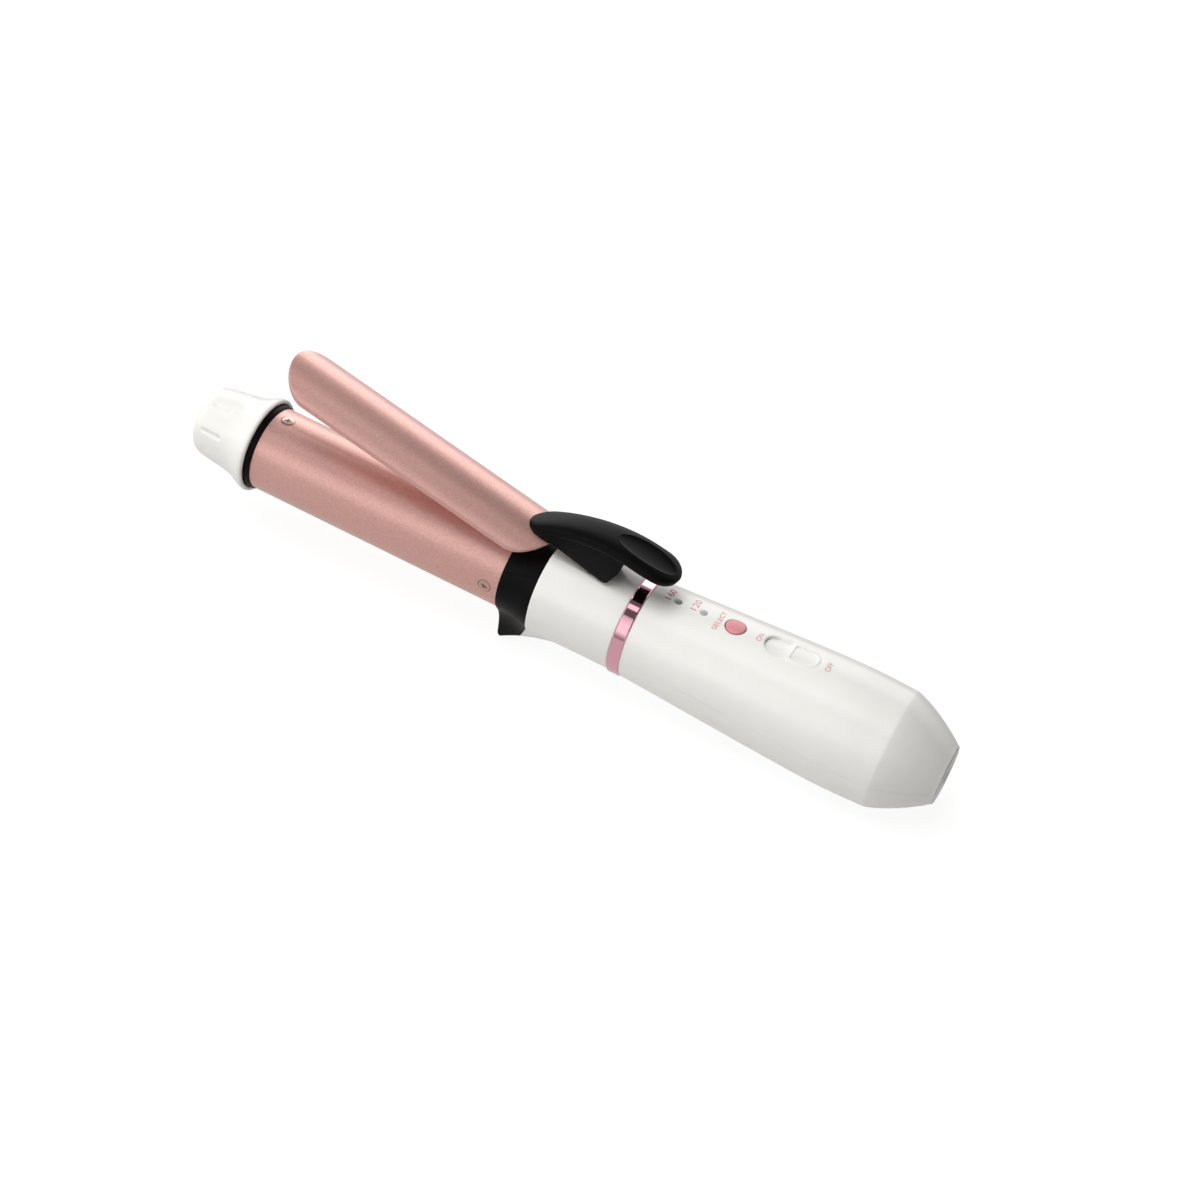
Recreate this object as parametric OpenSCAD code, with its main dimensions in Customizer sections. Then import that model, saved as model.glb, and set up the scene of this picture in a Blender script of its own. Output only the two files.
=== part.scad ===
// Clamp-type curling iron: heated barrel, spring clamp with thumb lever, round tapered handle.
// Millimetres. The barrel axis is X, the tip points to +X, the thumb lever is on the +Z side.
// The origin is the mouth of the cord inlet, in the middle of the handle's rear end face.

/* [Handle] */
// Length of the two handle shells, from the rear end face to the trim ring
handle_len = 96.6; // [92:1:120]
// Radius of the handle at its widest place
handle_r = 18.4; // [17.5:0.1:20]
// Distance of the widest place from the rear end face
handle_wide_x = 32; // [28:1:38]
// Radius of the handle where it meets the trim ring
neck_r = 15.2; // [14.6:0.1:16]
// Distance of the crease from the rear end face
crease_x = 17; // [13:0.5:20]
// Radius of the handle at the crease
crease_r = 18; // [16.5:0.1:18.4]
// Radius of the rear end face
end_r = 9.3; // [8.9:0.1:11]
// Wall thickness of the handle shells
shell_wall = 2; // [1.6:0.1:2.4]

/* [Trim ring] */
// Width of the mirror ring between handle and front housing
ring_len = 4; // [3:0.5:6]
// Outer radius of the ring
ring_r = 15.5; // [15.3:0.1:16.4]

/* [Front housing] */
// Length of the white housing between trim ring and collar
front_len = 26.7; // [26:0.5:32]
// Outer radius of the front housing
front_r = 15; // [14.7:0.1:15.6]
// Height of the flat under the lever, above the barrel's surface
saddle_rise = 0.2; // [0:0.05:0.4]

/* [Collar and foot] */
// Length of the black collar
collar_len = 11; // [10:0.5:14]
// How far the collar stands proud of the barrel at its front edge
collar_lip = 0.4; // [0.2:0.1:0.8]
// Depth of the stand foot's tip below the axis
foot_drop = 24; // [22:0.5:28]
// Width of the stand foot
foot_w = 12; // [9:0.5:13]
// Length over which the underside swells from the round housing down to the foot
keel_len = 29; // [24:0.5:32]

/* [Barrel] */
// Outer radius of the heated barrel
barrel_r = 13; // [12.6:0.1:13.2]
// Length of the heated barrel
barrel_len = 85; // [75:1:110]
// Wall thickness of the barrel tube
barrel_wall = 1.2; // [0.8:0.1:1.4]

/* [Tip cap] */
// Length of the cool tip, from the flange's rim to the end
cap_len = 22.8; // [20:0.5:28]
// Radius of the flange's rim
cap_flange_r = 15; // [14.6:0.1:16]
// Radius of the grip part behind the rounded end
cap_grip_r = 11.5; // [11:0.1:12]
// Number of grip flutes around the cap
flute_count = 8; // [6:1:12]
// Width of the black ring between cap and barrel
spacer_len = 2.3; // [1.5:0.1:3]

/* [Clamp] */
// Angle of the clamp above its closed place, as drawn
open_angle = 12.5; // [6:0.5:20]
// Gap between barrel and closed clamp
clamp_gap = 0.5; // [0.4:0.1:0.6]
// Thickness of the clamp plate
clamp_t = 1.2; // [0.8:0.1:1.2]
// Half of the clamp plate's width
clamp_half_w = 10.8; // [9.5:0.1:11.5]
// Distance from the closed clamp's tip to the front end of the barrel
clamp_tip_back = 2.7; // [2:0.1:6]
// How far the closed clamp's tail reaches past the barrel over the collar
clamp_tail = 10.4; // [10:0.1:10.6]

/* [Lever] */
// Distance of the hinge pin behind the collar's rear face
pivot_back = 17; // [16.6:0.1:17.6]
// Height of the hinge pin above the barrel's surface
pivot_rise = 5; // [4.8:0.1:5.4]
// Radius of the lever's arched top
lever_arc_r = 47; // [45:0.5:50]
// Height of the arch's highest point above the hinge pin
lever_rise = 11.7; // [10.5:0.1:12]
// Distance of the arch's highest point behind the hinge pin
lever_top_back = 9; // [8:0.1:10]
// Thickness of the lever's arm
lever_t = 4.3; // [3.8:0.1:4.6]
// Thickness of the lever at its tail
tail_t = 2.8; // [2.4:0.1:3.6]
// Width of the lever at the thumb pad
lever_w = 13; // [12.6:0.1:15]
// Width of the lever at its nose, over the clamp
nose_w = 10; // [8:0.5:11]
// Distance from the hinge pin forward to the nose
nose_reach = 26.1; // [24:0.1:27]
// Distance from the hinge pin back to the lever's end
thumb_reach = 19.3; // [18.5:0.1:22]
// Depth of the thumb dish
dish_depth = 1; // [0.6:0.1:1.2]

/* [Hinge] */
// Radius of the hinge pin
pin_r = 1.5; // [1.2:0.1:1.7]
// Running clearance around the pin in the lever's cheeks
pin_clear = 0.05; // [0.02:0.01:0.08]
// Thickness of each lever cheek
cheek_t = 2; // [1.8:0.1:2.2]
// Wire radius of the torsion spring
wire_r = 0.4; // [0.3:0.05:0.45]
// Turns of the torsion spring
spring_turns = 3; // [2:1:4]

/* [Controls] */
// Distance of the temperature button behind the trim ring
button_back = 26.3; // [25:0.1:26.5]
// Radius of the temperature button
button_r = 3; // [2.6:0.1:3.2]
// Travel of the temperature button
button_travel = 0.6; // [0.4:0.1:0.8]
// Distance of the slide switch window's middle behind the trim ring
window_back = 44.1; // [43.8:0.1:45]
// Length of the slide switch window
window_len = 16.8; // [16:0.1:17]
// Width of the slide switch window
window_w = 7.6; // [7:0.1:8]
// Travel of the slide switch
slide_travel = 5.5; // [4:0.1:5.5]
// Length of the D-shaped slide knob
knob_len = 7; // [6:0.1:8]
// Width of the slide knob
knob_w = 5.9; // [5:0.1:6.2]
// Distance of the rear indicator behind the trim ring
led_back = 16.2; // [15.5:0.1:17]
// Distance between the two indicators
led_pitch = 8; // [7:0.1:8.5]
// Radius of the indicator light pipes
pipe_r = 1.1; // [0.8:0.1:1.3]

/* [Cord inlet] */
// Radius of the bore through the swivelling cord bush
inlet_r = 3.1; // [2.6:0.1:3.6]
// Length of the bore
inlet_len = 6.5; // [6:0.1:8]
// Radius of the bush where it turns in the handle
bush_r = 6.5; // [6:0.1:6.8]

/* [Hidden] */

$fn = 64;
eps = 0.01;
big = 200;

// Colours of the finished surfaces
white = "#f3f3ef";
black = "#1b1b1c";
rose = "#d9a295";
pink_chrome = "#e9a9b8";
pink = "#dd9aa6";
steel = "#c9cbce";
alu = "#b9bcc0";
board_green = "#2f6b45";

// Small clearances: parts that stay put, parts that slide, parts that turn
fit_gap = 0.1;
slide_gap = 0.2;
open_gap = 0.3;

// Places along the axis
ring_x = handle_len;
front_x = ring_x + ring_len;
collar_x = front_x + front_len;
barrel_x = collar_x + collar_len;
barrel_end = barrel_x + barrel_len;
spacer_end = barrel_end + spacer_len;
cap_end = spacer_end + cap_len;

// Controls
button_x = ring_x - button_back;
window_x = ring_x - window_back;
led_x = ring_x - led_back;

// Radii that follow from one another
barrel_in_r = barrel_r - barrel_wall;
spigot_r = barrel_in_r - fit_gap;
front_bore_r = barrel_r - 0.8;
saddle_z = barrel_r + saddle_rise;
pivot_z = barrel_r + pivot_rise;
clamp_in_r = barrel_r + clamp_gap;
clamp_out_r = clamp_in_r + clamp_t;
collar_front_r = barrel_r + collar_lip;

// Hinge
pivot_x = collar_x - pivot_back;
ear_t = 1.3;
slot_gap = 0.3;
cheek_w = lever_w - 1;
cheek_in = cheek_w / 2 - cheek_t;
ear_out = cheek_in - open_gap;
ear_in = ear_out - ear_t;
pin_half = cheek_w / 2 - 0.9;

// Torsion spring, its stop on the saddle and its rib under the lever
coil_r = pin_r + 0.15 + wire_r;
coil_pitch = 2 * wire_r + 0.1;
spring_half = spring_turns * coil_pitch / 2;
leg_stop = coil_r + wire_r + 0.03;
rib_t = 1.9;
rib_w = 1.7;

// Handle outline
function bez(a, b, c, d, n) = [for (i = [0:n]) let (t = i / n, s = 1 - t)
    s*s*s*a + 3*s*s*t*b + 3*s*t*t*c + t*t*t*d];
end_gap = 0.2;
rim_x = end_gap + 0.8;
taper = bez([end_r + 0.1, rim_x], [end_r + 2.3, rim_x + 3.2], [crease_r - 2.8, crease_x - 6.6],
    [crease_r, crease_x], 8);
bulge = bez([crease_r, crease_x], [crease_r + 0.2, crease_x + 6],
    [handle_r, handle_wide_x - 8], [handle_r, handle_wide_x], 6);
long = bez([handle_r, handle_wide_x], [handle_r, handle_wide_x + 9],
    [neck_r + 1.6, ring_x - 30], [neck_r, ring_x], 12);
handle_outline = concat([[end_r - 0.3, end_gap], [end_r + 0.1, end_gap + 0.4]], taper, [for (i = [1:len(bulge) - 1]) bulge[i]],
    [for (i = [1:len(long) - 1]) long[i]]);
// Radius of the handle's surface at a place along the axis
function handle_at(x) = lookup(x, [for (p = handle_outline) [p[1], p[0]]]);

// Swivel seat in the handle's end
bush_face_r = bush_r + 1.5;
bush_lip = 1.6;
bush_web = 2.4;
bush_back_r = bush_r + 1.4;
seat_end = bush_lip + bush_web + 2 * slide_gap;

// Circuit board
board_z = 4.8;
board_t = 1.2;
board_top = board_z + board_t;
board_half_w = 10;
board_x0 = 34;
board_x1 = ring_x - 4.5;
post_xs = [board_x0 + 4, board_x1 - 5];
post_y = 7.5;
post_r = 2.1;

// Handle screws: one pair behind the circuit board and one pair at its edges
mid_screw_x = ring_x - 32.6;
screw_places = [[25, 9], [25, -9], [mid_screw_x, 9.5], [mid_screw_x, -9.5]];
screw_r = 1.3;
boss_r = 2.9;

// Slide switch: its plate is a strip of a tube that lies under the handle's wall and slopes with it
slide_r = handle_at(window_x);
slide_slope = atan((handle_at(window_x - 8) - handle_at(window_x + 8)) / 16);
plate_t = 1;
groove = 0.8;
plate_r = slide_r - groove - slide_gap;
plate_base = plate_r - plate_t;
knob_rear = window_x - window_len / 2 + 1.2;
knob_front = knob_rear + knob_len;
plate_rear = window_x - window_len / 2 - slide_travel - 0.8;
plate_front = window_x + window_len / 2 + 0.3;
plate_half_w = window_w / 2 + 1.2;

// Turns a profile of [radius, x] points around the barrel axis
module revolve(points) {
    rotate([0, 90, 0])
        rotate_extrude()
            polygon(points);
}

// A cylinder along the barrel axis between two places
module along(r, x0, x1) {
    translate([x0, 0, 0])
        rotate([0, 90, 0])
            cylinder(r = r, h = x1 - x0);
}

// A cylinder across the handle, centred on the middle plane
module across(r, half) {
    rotate([90, 0, 0])
        cylinder(r = r, h = 2 * half, center = true);
}

// A flat stadium-shaped prism along X between two heights
module stadium(x0, x1, w, z0, z1) {
    r = w / 2;
    translate([0, 0, z0])
        linear_extrude(z1 - z0)
            union() {
                translate([x0 + r, 0])
                    circle(r = r);
                translate([x1 - r, 0])
                    circle(r = r);
                translate([x0 + r, -r])
                    square([x1 - x0 - w, w]);
            }
}

// Skin through rings of points, closed by a flat fan at each end
module loft(rings) {
    n = len(rings[0]);
    m = len(rings);
    points = [for (ring = rings) each ring];
    sides = [for (j = [0:m - 2], i = [0:n - 1]) let (k = (i + 1) % n)
        each [[j*n + i, (j + 1)*n + k, j*n + k], [j*n + i, (j + 1)*n + i, (j + 1)*n + k]]];
    first = [[for (i = [0:n - 1]) i]];
    last = [[for (i = [n - 1:-1:0]) (m - 1)*n + i]];
    polyhedron(points = points, faces = concat(sides, first, last), convexity = 6);
}

// Everything that swings with the clamp, turned about the hinge pin
module swing(angle = open_angle) {
    translate([pivot_x, 0, pivot_z])
        rotate([0, -angle, 0])
            translate([-pivot_x, 0, -pivot_z])
                children();
}

// ---------------------------------------------------------------- cool tip

cap_rim = spacer_end - 0.2;
cap_mouth_r = barrel_r + 0.8;
cap_outline = concat(
    [[cap_flange_r - 0.7, cap_rim], [cap_flange_r - 0.1, cap_rim + 0.4],
        [cap_flange_r, cap_rim + 1.1]],
    bez([cap_flange_r - 0.2, cap_rim + 2], [cap_flange_r - 1.6, cap_rim + 5],
        [cap_grip_r + 1, cap_rim + 6.5], [cap_grip_r + 0.6, cap_rim + 10], 8),
    bez([cap_grip_r, cap_end - 7], [cap_grip_r - 0.6, cap_end - 2],
        [cap_grip_r - 2.6, cap_end - 0.6], [cap_grip_r - 7, cap_end - 0.15], 10));
flute_len = 9.5;
flute_r = 0.9;

module tip_cap() {
    color(white)
        difference() {
            revolve(concat(cap_outline, [[0, cap_end], [0, cap_rim]]));
            along(cap_mouth_r, cap_rim - 1, cap_rim + 1.6);
            along(cap_grip_r - 2, cap_rim, cap_end - 2.5);
            for (i = [0:flute_count - 1])
                rotate([(i + 0.5) * 360 / flute_count, 0, 0])
                    translate([cap_end - 5.5 - flute_len, 0, cap_grip_r + 1.25])
                        rotate([0, 93.5, 0])
                            union() {
                                cylinder(r = flute_r, h = flute_len);
                                sphere(r = flute_r);
                                translate([0, 0, flute_len])
                                    sphere(r = flute_r);
                            }
        }
}

module tip_plug() {
    color(black)
        difference() {
            union() {
                along(spigot_r, barrel_end - 9, barrel_end + 0.5);
                revolve([[0, barrel_end], [barrel_r + 0.1, barrel_end],
                    [barrel_r + 0.5, barrel_end + 0.5], [barrel_r + 0.5, cap_rim + 1.6],
                    [0, cap_rim + 1.6]]);
                along(cap_grip_r - 2 - fit_gap, cap_rim, cap_rim + 12);
            }
            along(cap_grip_r - 4.5, cap_rim + 2, cap_rim + 13);
            along(spigot_r - 2, barrel_end - 10, barrel_end - 1.5);
            front_screw_place()
                cylinder(r = barrel_screw_r, h = 6.5, center = true);
        }
}

// ---------------------------------------------------------------- barrel and heater

screw_inset = 4.2;
barrel_screw_r = 1;
head_r = 2;

module front_screw_place() {
    translate([barrel_end - screw_inset, 0, barrel_r])
        children();
}

module rear_screw_places() {
    for (side = [90, -90])
        rotate([side, 0, 0])
            translate([barrel_x + screw_inset, 0, barrel_r])
                children();
}

// Countersunk screw, its head just above the barrel's surface
module barrel_screw(size = 0) {
    translate([0, 0, -0.8])
        cylinder(r1 = barrel_screw_r + size, r2 = head_r + size, h = 0.8);
    cylinder(r = head_r + size, h = 0.1 + size * 20);
    translate([0, 0, -3.2])
        cylinder(r = barrel_screw_r + size, h = 3);
}

module barrel_tube() {
    color(rose)
        difference() {
            along(barrel_r, barrel_x, barrel_end);
            along(barrel_in_r, barrel_x - 1, barrel_end + 1);
            front_screw_place()
                barrel_screw(0.03);
            rear_screw_places()
                barrel_screw(0.03);
        }
}

module cross_headed() {
    difference() {
        barrel_screw();
        for (turn = [0, 90])
            rotate([0, 0, turn])
                translate([-1.1, -0.2, -0.5])
                    cube([2.2, 0.4, 1]);
    }
}

module barrel_screws() {
    color(steel) {
        front_screw_place()
            cross_headed();
        rear_screw_places()
            cross_headed();
    }
}

spreader_r = barrel_in_r - fit_gap;
spreader_x0 = barrel_x + 14;
spreader_x1 = barrel_end - 14;
ptc_t = 2.4;
ptc_w = 9;
plate_gap = ptc_t / 2;

// Half-round aluminium heat spreader; side 1 lies above the element and -1 below it
module spreader(side, gap) {
    difference() {
        along(spreader_r, spreader_x0, spreader_x1);
        translate([spreader_x0 - 1, -big / 2, side > 0 ? gap - big : -gap])
            cube([spreader_x1 - spreader_x0 + 2, big, big]);
        for (y = [-6.8, 6.8])
            translate([spreader_x0 - 1, y, side * 4.6])
                rotate([0, 90, 0])
                    cylinder(r = 1.5, h = spreader_x1 - spreader_x0 + 2);
        translate([spreader_x0 - 1, 0, side * wire_z])
            rotate([0, 90, 0])
                cylinder(r = 3, h = spreader_x1 - spreader_x0 + 2);
    }
}

leaf_t = 0.5;

module heat_spreader_upper() {
    color(alu)
        spreader(1, plate_gap + leaf_t);
}

module heat_spreader_lower() {
    color(alu)
        spreader(-1, plate_gap);
}

module ptc_heater() {
    color("#8a8f94")
        translate([spreader_x0 - 4, -ptc_w / 2, -plate_gap])
            cube([spreader_x1 - spreader_x0 + 2, ptc_w, ptc_t]);
}

module heater_spring() {
    color(steel)
        difference() {
            translate([spreader_x0 + 4, -ptc_w / 2 + 1, plate_gap])
                cube([spreader_x1 - spreader_x0 - 8, ptc_w - 2, leaf_t]);
            for (i = [0:4])
                translate([spreader_x0 + 10 + i * (spreader_x1 - spreader_x0 - 20) / 4, 0, 0])
                    cylinder(r = 1.6, h = 5);
        }
}

wire_z = board_top + 0.5;
lead_r = 1;
lead_y = 2.6;
block_x0 = board_x1 - 9;
block_x1 = board_x1 - 1;

module thermistor() {
    color("#c98b3a")
        translate([0, 0, wire_z])
            union() {
                along(2.95, spreader_x0 + 1, spreader_x0 + 8);
                for (y = [-1.2, 1.2])
                    translate([0, y, 0])
                        along(0.5, board_x1 - 1.2, spreader_x0 + 2);
            }
}

module thermal_fuse() {
    color("#d8d4c8")
        translate([0, 0, -wire_z])
            union() {
                along(2.95, spreader_x0 + 1, spreader_x0 + 11);
                along(0.7, block_x1 - 3, spreader_x0 + 2);
            }
}

module heater_leads() {
    color("#e8e2d6")
        for (y = [-lead_y, lead_y])
            translate([0, y, 0])
                along(lead_r, block_x1 - 3, spreader_x0 - 4);
}

// Where the heater's wires are screwed down, under the front of the board
module terminal_block() {
    color("#e9e6dc")
        difference() {
            translate([block_x0, -4.8, -wire_z - 2])
                cube([block_x1 - block_x0, 9.6, board_z + wire_z + 2]);
            for (y = [-lead_y, lead_y])
                translate([0, y, 0])
                    along(lead_r, block_x1 - 3, block_x1 + 1);
            translate([0, 0, -wire_z])
                along(0.7, block_x1 - 3, block_x1 + 1);
            for (y = [-lead_y, lead_y])
                translate([block_x1 - 5, y, -wire_z - 3])
                    cylinder(r = 1.4, h = 2.4);
        }
}

// ---------------------------------------------------------------- collar, foot and front housing

keel_x = barrel_x - keel_len;
foot_half = foot_w / 2;
// Angle from straight down at which the foot's flank leaves the round body
flank_turn = 38;
sole_round = 1.6;
sole_steps = 2;
corner_steps = 5;
flank_steps = 7;
round_steps = 26;

// Radius of the round part of housing and collar: level, then falling to the collar's lip
function body_r(x) = let (u = max(0, min(1, (x - collar_x) / collar_len)))
    front_r + (collar_front_r - front_r) * pow(sin(90 * u), 1.4);

// Depth of the underside below the axis, rounded up at the foot's front edge
foot_round = 0.9;
function keel_at(x) = let (u = max(0, min(1, (x - keel_x) / (keel_len - foot_round))),
        lip = max(0, min(1, (x - barrel_x) / foot_round + 1)))
    front_r + (foot_drop - front_r) * pow(u, 1.9) - foot_round * (1 - sqrt(1 - lip * lip));

// Half of the foot's cross-section as [y, z], from the middle of the sole up to the round body
function foot_section(r) = concat(
    [for (i = [0:sole_steps]) [(foot_half - sole_round) * i / sole_steps, -foot_drop]],
    [for (i = [1:corner_steps]) let (a = 90 * i / corner_steps)
        [foot_half - sole_round * (1 - sin(a)), sole_round * (1 - cos(a)) - foot_drop]],
    [for (i = [1:flank_steps])
        bez([foot_half, sole_round - foot_drop], [foot_half, -r],
            [r * sin(flank_turn) - 1.5 * cos(flank_turn), -r * cos(flank_turn) - 1.5 * sin(flank_turn)],
            [r * sin(flank_turn), -r * cos(flank_turn)], flank_steps)[i]]);

// One cross-section of housing, collar and foot: a circle whose underside is drawn down
function body_ring(x) = let (r = body_r(x), k = (keel_at(x) - r) / (foot_drop - r),
        deep = foot_section(r), last = len(deep) - 1,
        half = [for (i = [0:last]) let (a = flank_turn * i / last)
            (1 - k) * [r * sin(a), -r * cos(a)] + k * deep[i]],
        step = (360 - 2 * flank_turn) / round_steps)
    concat([for (p = half) [x, p[0], p[1]]],
        [for (i = [1:round_steps - 1]) let (a = flank_turn + i * step) [x, r * sin(a), -r * cos(a)]],
        [for (i = [last:-1:1]) [x, -half[i][0], half[i][1]]]);

body_steps = 16;

module round_body() {
    loft(concat([body_ring(front_x)],
        [for (i = [0:body_steps - 1])
            body_ring(keel_x + (keel_len - foot_round) * i / body_steps)],
        [for (t = [1, 0.75, 0.5, 0.25, 0.05]) body_ring(barrel_x - foot_round * t)],
        [body_ring(barrel_x + 1)]));
}

// Everything forward of the seam between front housing and collar.
// Below the axis the seam curves forward, to the back of the foot.
seam_r = 51;
module ahead_of_seam(reach = big) {
    difference() {
        translate([collar_x, -big / 2, -big / 2])
            cube([reach, big, big]);
        difference() {
            translate([collar_x - 1, -big / 2, -big / 2])
                cube([seam_r, big, big / 2]);
            translate([collar_x + seam_r, 0, 0])
                across(seam_r, big);
        }
    }
}

// Flat under the lever: a slot between the cheeks in the housing, as wide as the lever in the collar
module saddle_cut(x0, half) {
    translate([x0, -half, saddle_z])
        cube([barrel_x + 1 - x0, 2 * half, 20]);
}

module front_housing() {
    color(white)
        difference() {
            union() {
                difference() {
                    round_body();
                    ahead_of_seam();
                    saddle_cut(cheek_rear - 1, cheek_in + slot_gap);
                }
                for (side = [-1, 1])
                    hinge_ear(side);
                translate([pivot_x + leg_stop, -spring_half - rib_w / 2, front_bore_r])
                    cube([rib_t, rib_w, saddle_z + 2 - front_bore_r]);
            }
            along(front_bore_r, front_x - 1, collar_x + 20);
            translate([pivot_x, 0, pivot_z])
                across(pin_r, 8);
        }
}

module hinge_ear(side) {
    y = side > 0 ? ear_in : -ear_out;
    translate([pivot_x, y + ear_t, 0])
        rotate([90, 0, 0])
            linear_extrude(ear_t)
                union() {
                    translate([0, pivot_z])
                        circle(r = pin_r + 1.6);
                    translate([-pin_r - 1.6, front_bore_r - 0.5])
                        square([2 * pin_r + 3.2, pivot_z - front_bore_r + 0.5]);
                    polygon([[0, front_bore_r - 0.5], [5, front_bore_r - 0.5],
                        [5, saddle_z + 0.3], [pin_r + 1.6, saddle_z + 1.6], [0, saddle_z + 1.6]]);
                }
}

module collar() {
    color(black)
        difference() {
            union() {
                intersection() {
                    round_body();
                    ahead_of_seam(collar_len);
                }
                along(front_bore_r - fit_gap, collar_x - 10, collar_x + 1);
                along(spigot_r, barrel_x - 1, barrel_x + 8.5);
            }
            saddle_cut(collar_x - 1, lever_w / 2 - 0.1);
            clamp_recess();
            along(spigot_r - 2, barrel_x + 2, barrel_x + 10);
            along(wire_z + 1.1, collar_x - 11, barrel_x + 10);
            rear_screw_places()
                cylinder(r = barrel_screw_r, h = 6.5, center = true);
        }
}

// Room over the collar for the closed clamp's tail
module clamp_recess() {
    intersection() {
        difference() {
            along(barrel_r + 4, collar_x - 1, barrel_x + 1);
            along(clamp_in_r - open_gap, collar_x - 2, barrel_x + 2);
        }
        stadium(clamp_tail_x - 0.5, barrel_end, 2 * clamp_half_w + 1, 0, 30);
    }
}

module trim_ring() {
    color(pink_chrome)
        revolve([[ring_r - 2.3, ring_x], [ring_r - 0.5, ring_x], [ring_r, ring_x + 0.5],
            [ring_r, front_x - 0.5], [ring_r - 0.5, front_x], [ring_r - 2.3, front_x]]);
}

// ---------------------------------------------------------------- clamp and lever

clamp_tail_x = barrel_x - clamp_tail;
clamp_tip_x = barrel_end - clamp_tip_back;
rivet_r = 1;
rivet_len = clamp_t + 1;
rivet_xs = [clamp_tail_x + 2.2, clamp_tail_x + 4.6];

module clamp_plate() {
    color(rose)
        swing()
            difference() {
                intersection() {
                    difference() {
                        along(clamp_out_r, clamp_tail_x - 1, clamp_tip_x + 1);
                        along(clamp_in_r, clamp_tail_x - 2, clamp_tip_x + 2);
                    }
                    stadium(clamp_tail_x, clamp_tip_x, 2 * clamp_half_w, 0, 30);
                }
                for (x = rivet_xs)
                    translate([x, 0, clamp_in_r - 2])
                        cylinder(r = rivet_r, h = 6);
            }
}

module clamp_rivets() {
    color(steel)
        swing()
            for (x = rivet_xs)
                translate([x, 0, 0])
                    intersection() {
                        translate([0, 0, clamp_in_r - 1])
                            cylinder(r = rivet_r, h = rivet_len + 1);
                        difference() {
                            translate([-3, -3, clamp_in_r - 2])
                                cube([6, 6, 8]);
                            translate([-10, 0, 0])
                                rotate([0, 90, 0])
                                    cylinder(r = clamp_in_r, h = 20);
                        }
                    }
}

// The arm follows an arc about this centre, seen from the side
arc_x = pivot_x - lever_top_back;
arc_z = pivot_z + lever_rise - lever_arc_r;
arm_r = lever_arc_r - lever_t / 2;
arm_front = pivot_x + nose_reach - arc_x;
arm_rear = pivot_x - thumb_reach - arc_x;
arm_steps = 26;

// Half width of the arm at a distance ahead of the arc's centre
function arm_half(d) = let (wide = lever_w / 2, slim = nose_w / 2,
        t = max(0, min(1, (d + 2) / (arm_front - slim + 2))), blend = t * t * (3 - 2 * t),
        body = wide + (slim - wide) * blend,
        front = arm_front - d, rear = d - arm_rear)
    min(body, sqrt(max(0, slim*slim - pow(max(0, slim - front), 2))) + (front > slim ? wide : 0),
        sqrt(max(0, wide*wide - pow(max(0, wide - rear), 2))) + (rear > wide ? wide : 0));

// Thickness of the arm, less toward the tail
function arm_t(d) = tail_t + (lever_t - tail_t) * min(1, (d - arm_rear) / -arm_rear);

// One cross-section of the arm: flat below, crowned and rounded above
function arm_ring(d, half, thick) = let (angle = asin(d / arm_r), n = 24)
    [for (i = [0:n - 1])
        let (turn = 360 * i / n, c = cos(turn), s = sin(turn),
            y = half * sign(c) * pow(abs(c), 0.55),
            h = thick / 2 * sign(s) * pow(abs(s), 0.6)
                + (s > 0 ? -0.5 * pow(y / (half + eps), 2) * thick / lever_t : 0),
            r = lever_arc_r - arm_t(d) / 2 + h)
        [arc_x + r * sin(angle), y, arc_z + r * cos(angle)]];

module arm() {
    rings = [for (i = [0:arm_steps])
        let (u = (1 - cos(180 * i / arm_steps)) / 2,
            d = arm_rear + eps * 5 + (arm_front - arm_rear - eps * 10) * u,
            half = max(0.6, arm_half(d)),
            edge = min(1, (arm_front - d + 0.6) / 2.5, (d - arm_rear + 0.6) / 2.5),
            thick = arm_t(d) * (0.35 + 0.65 * sqrt(1 - pow(1 - edge, 2))))
        arm_ring(d, half, thick)];
    loft(rings);
}

cheek_rear = pivot_x - pin_r - 2;
cheek_front = collar_x - 1.6;
cheek_z = saddle_z + 1.5;
cheek_round = 2.2;
// How far the cheek's lower corner stands ahead of its rear edge
cheek_lean = 1.2;
// How far the skirt reaches down beside the crown of the clamp
seat_depth = 0.6;
// How far the skirt stands inside the arm's edge
skirt_step = 0.4;

// Side view of the skirt under the arm: the cheek's leaning rear edge, then level to the nose
module skirt_outline() {
    difference() {
        union() {
            hull() {
                translate([cheek_rear + cheek_lean + cheek_round, cheek_z + cheek_round])
                    circle(r = cheek_round);
                translate([cheek_rear, pivot_z + 3])
                    square([1, 5]);
                translate([collar_x, cheek_z])
                    square([1, 5]);
            }
            translate([collar_x + open_gap, clamp_out_r - seat_depth])
                square([arc_x + arm_front - collar_x, 6]);
        }
        difference() {
            translate([cheek_rear - 5, arc_z + lever_arc_r - 30])
                square([60, 60]);
            translate([arc_x, arc_z])
                circle(r = arm_r - 0.4);
        }
    }
}

// The skirt seen from above: as wide as the cheeks, narrowing with the arm toward the nose
module skirt_plan() {
    rear = cheek_rear - arc_x - 1;
    reach = arm_front - 1 - rear;
    half = [for (i = [0:arm_steps]) let (d = rear + reach * i / arm_steps)
        [d, min(cheek_w / 2, arm_half(d) - skirt_step)]];
    polygon(concat(half, [for (i = [arm_steps:-1:0]) [half[i][0], -half[i][1]]]));
}

module lever_dish() {
    width = lever_w - 2;
    r = (width * width / 4 + dish_depth * dish_depth) / (2 * dish_depth);
    translate([arc_x - 14, 0, pivot_z + lever_rise + r - dish_depth])
        rotate([0, 90, 0])
            cylinder(r = r, h = 28, $fn = 128);
}

// Rib under the arm that the spring's upper leg pushes forward
module spring_rib() {
    translate([pivot_x + leg_stop + 1.67, spring_half - rib_w / 2, pivot_z + 3.2])
        cube([rib_t, rib_w, lever_rise - lever_t]);
}

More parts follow.
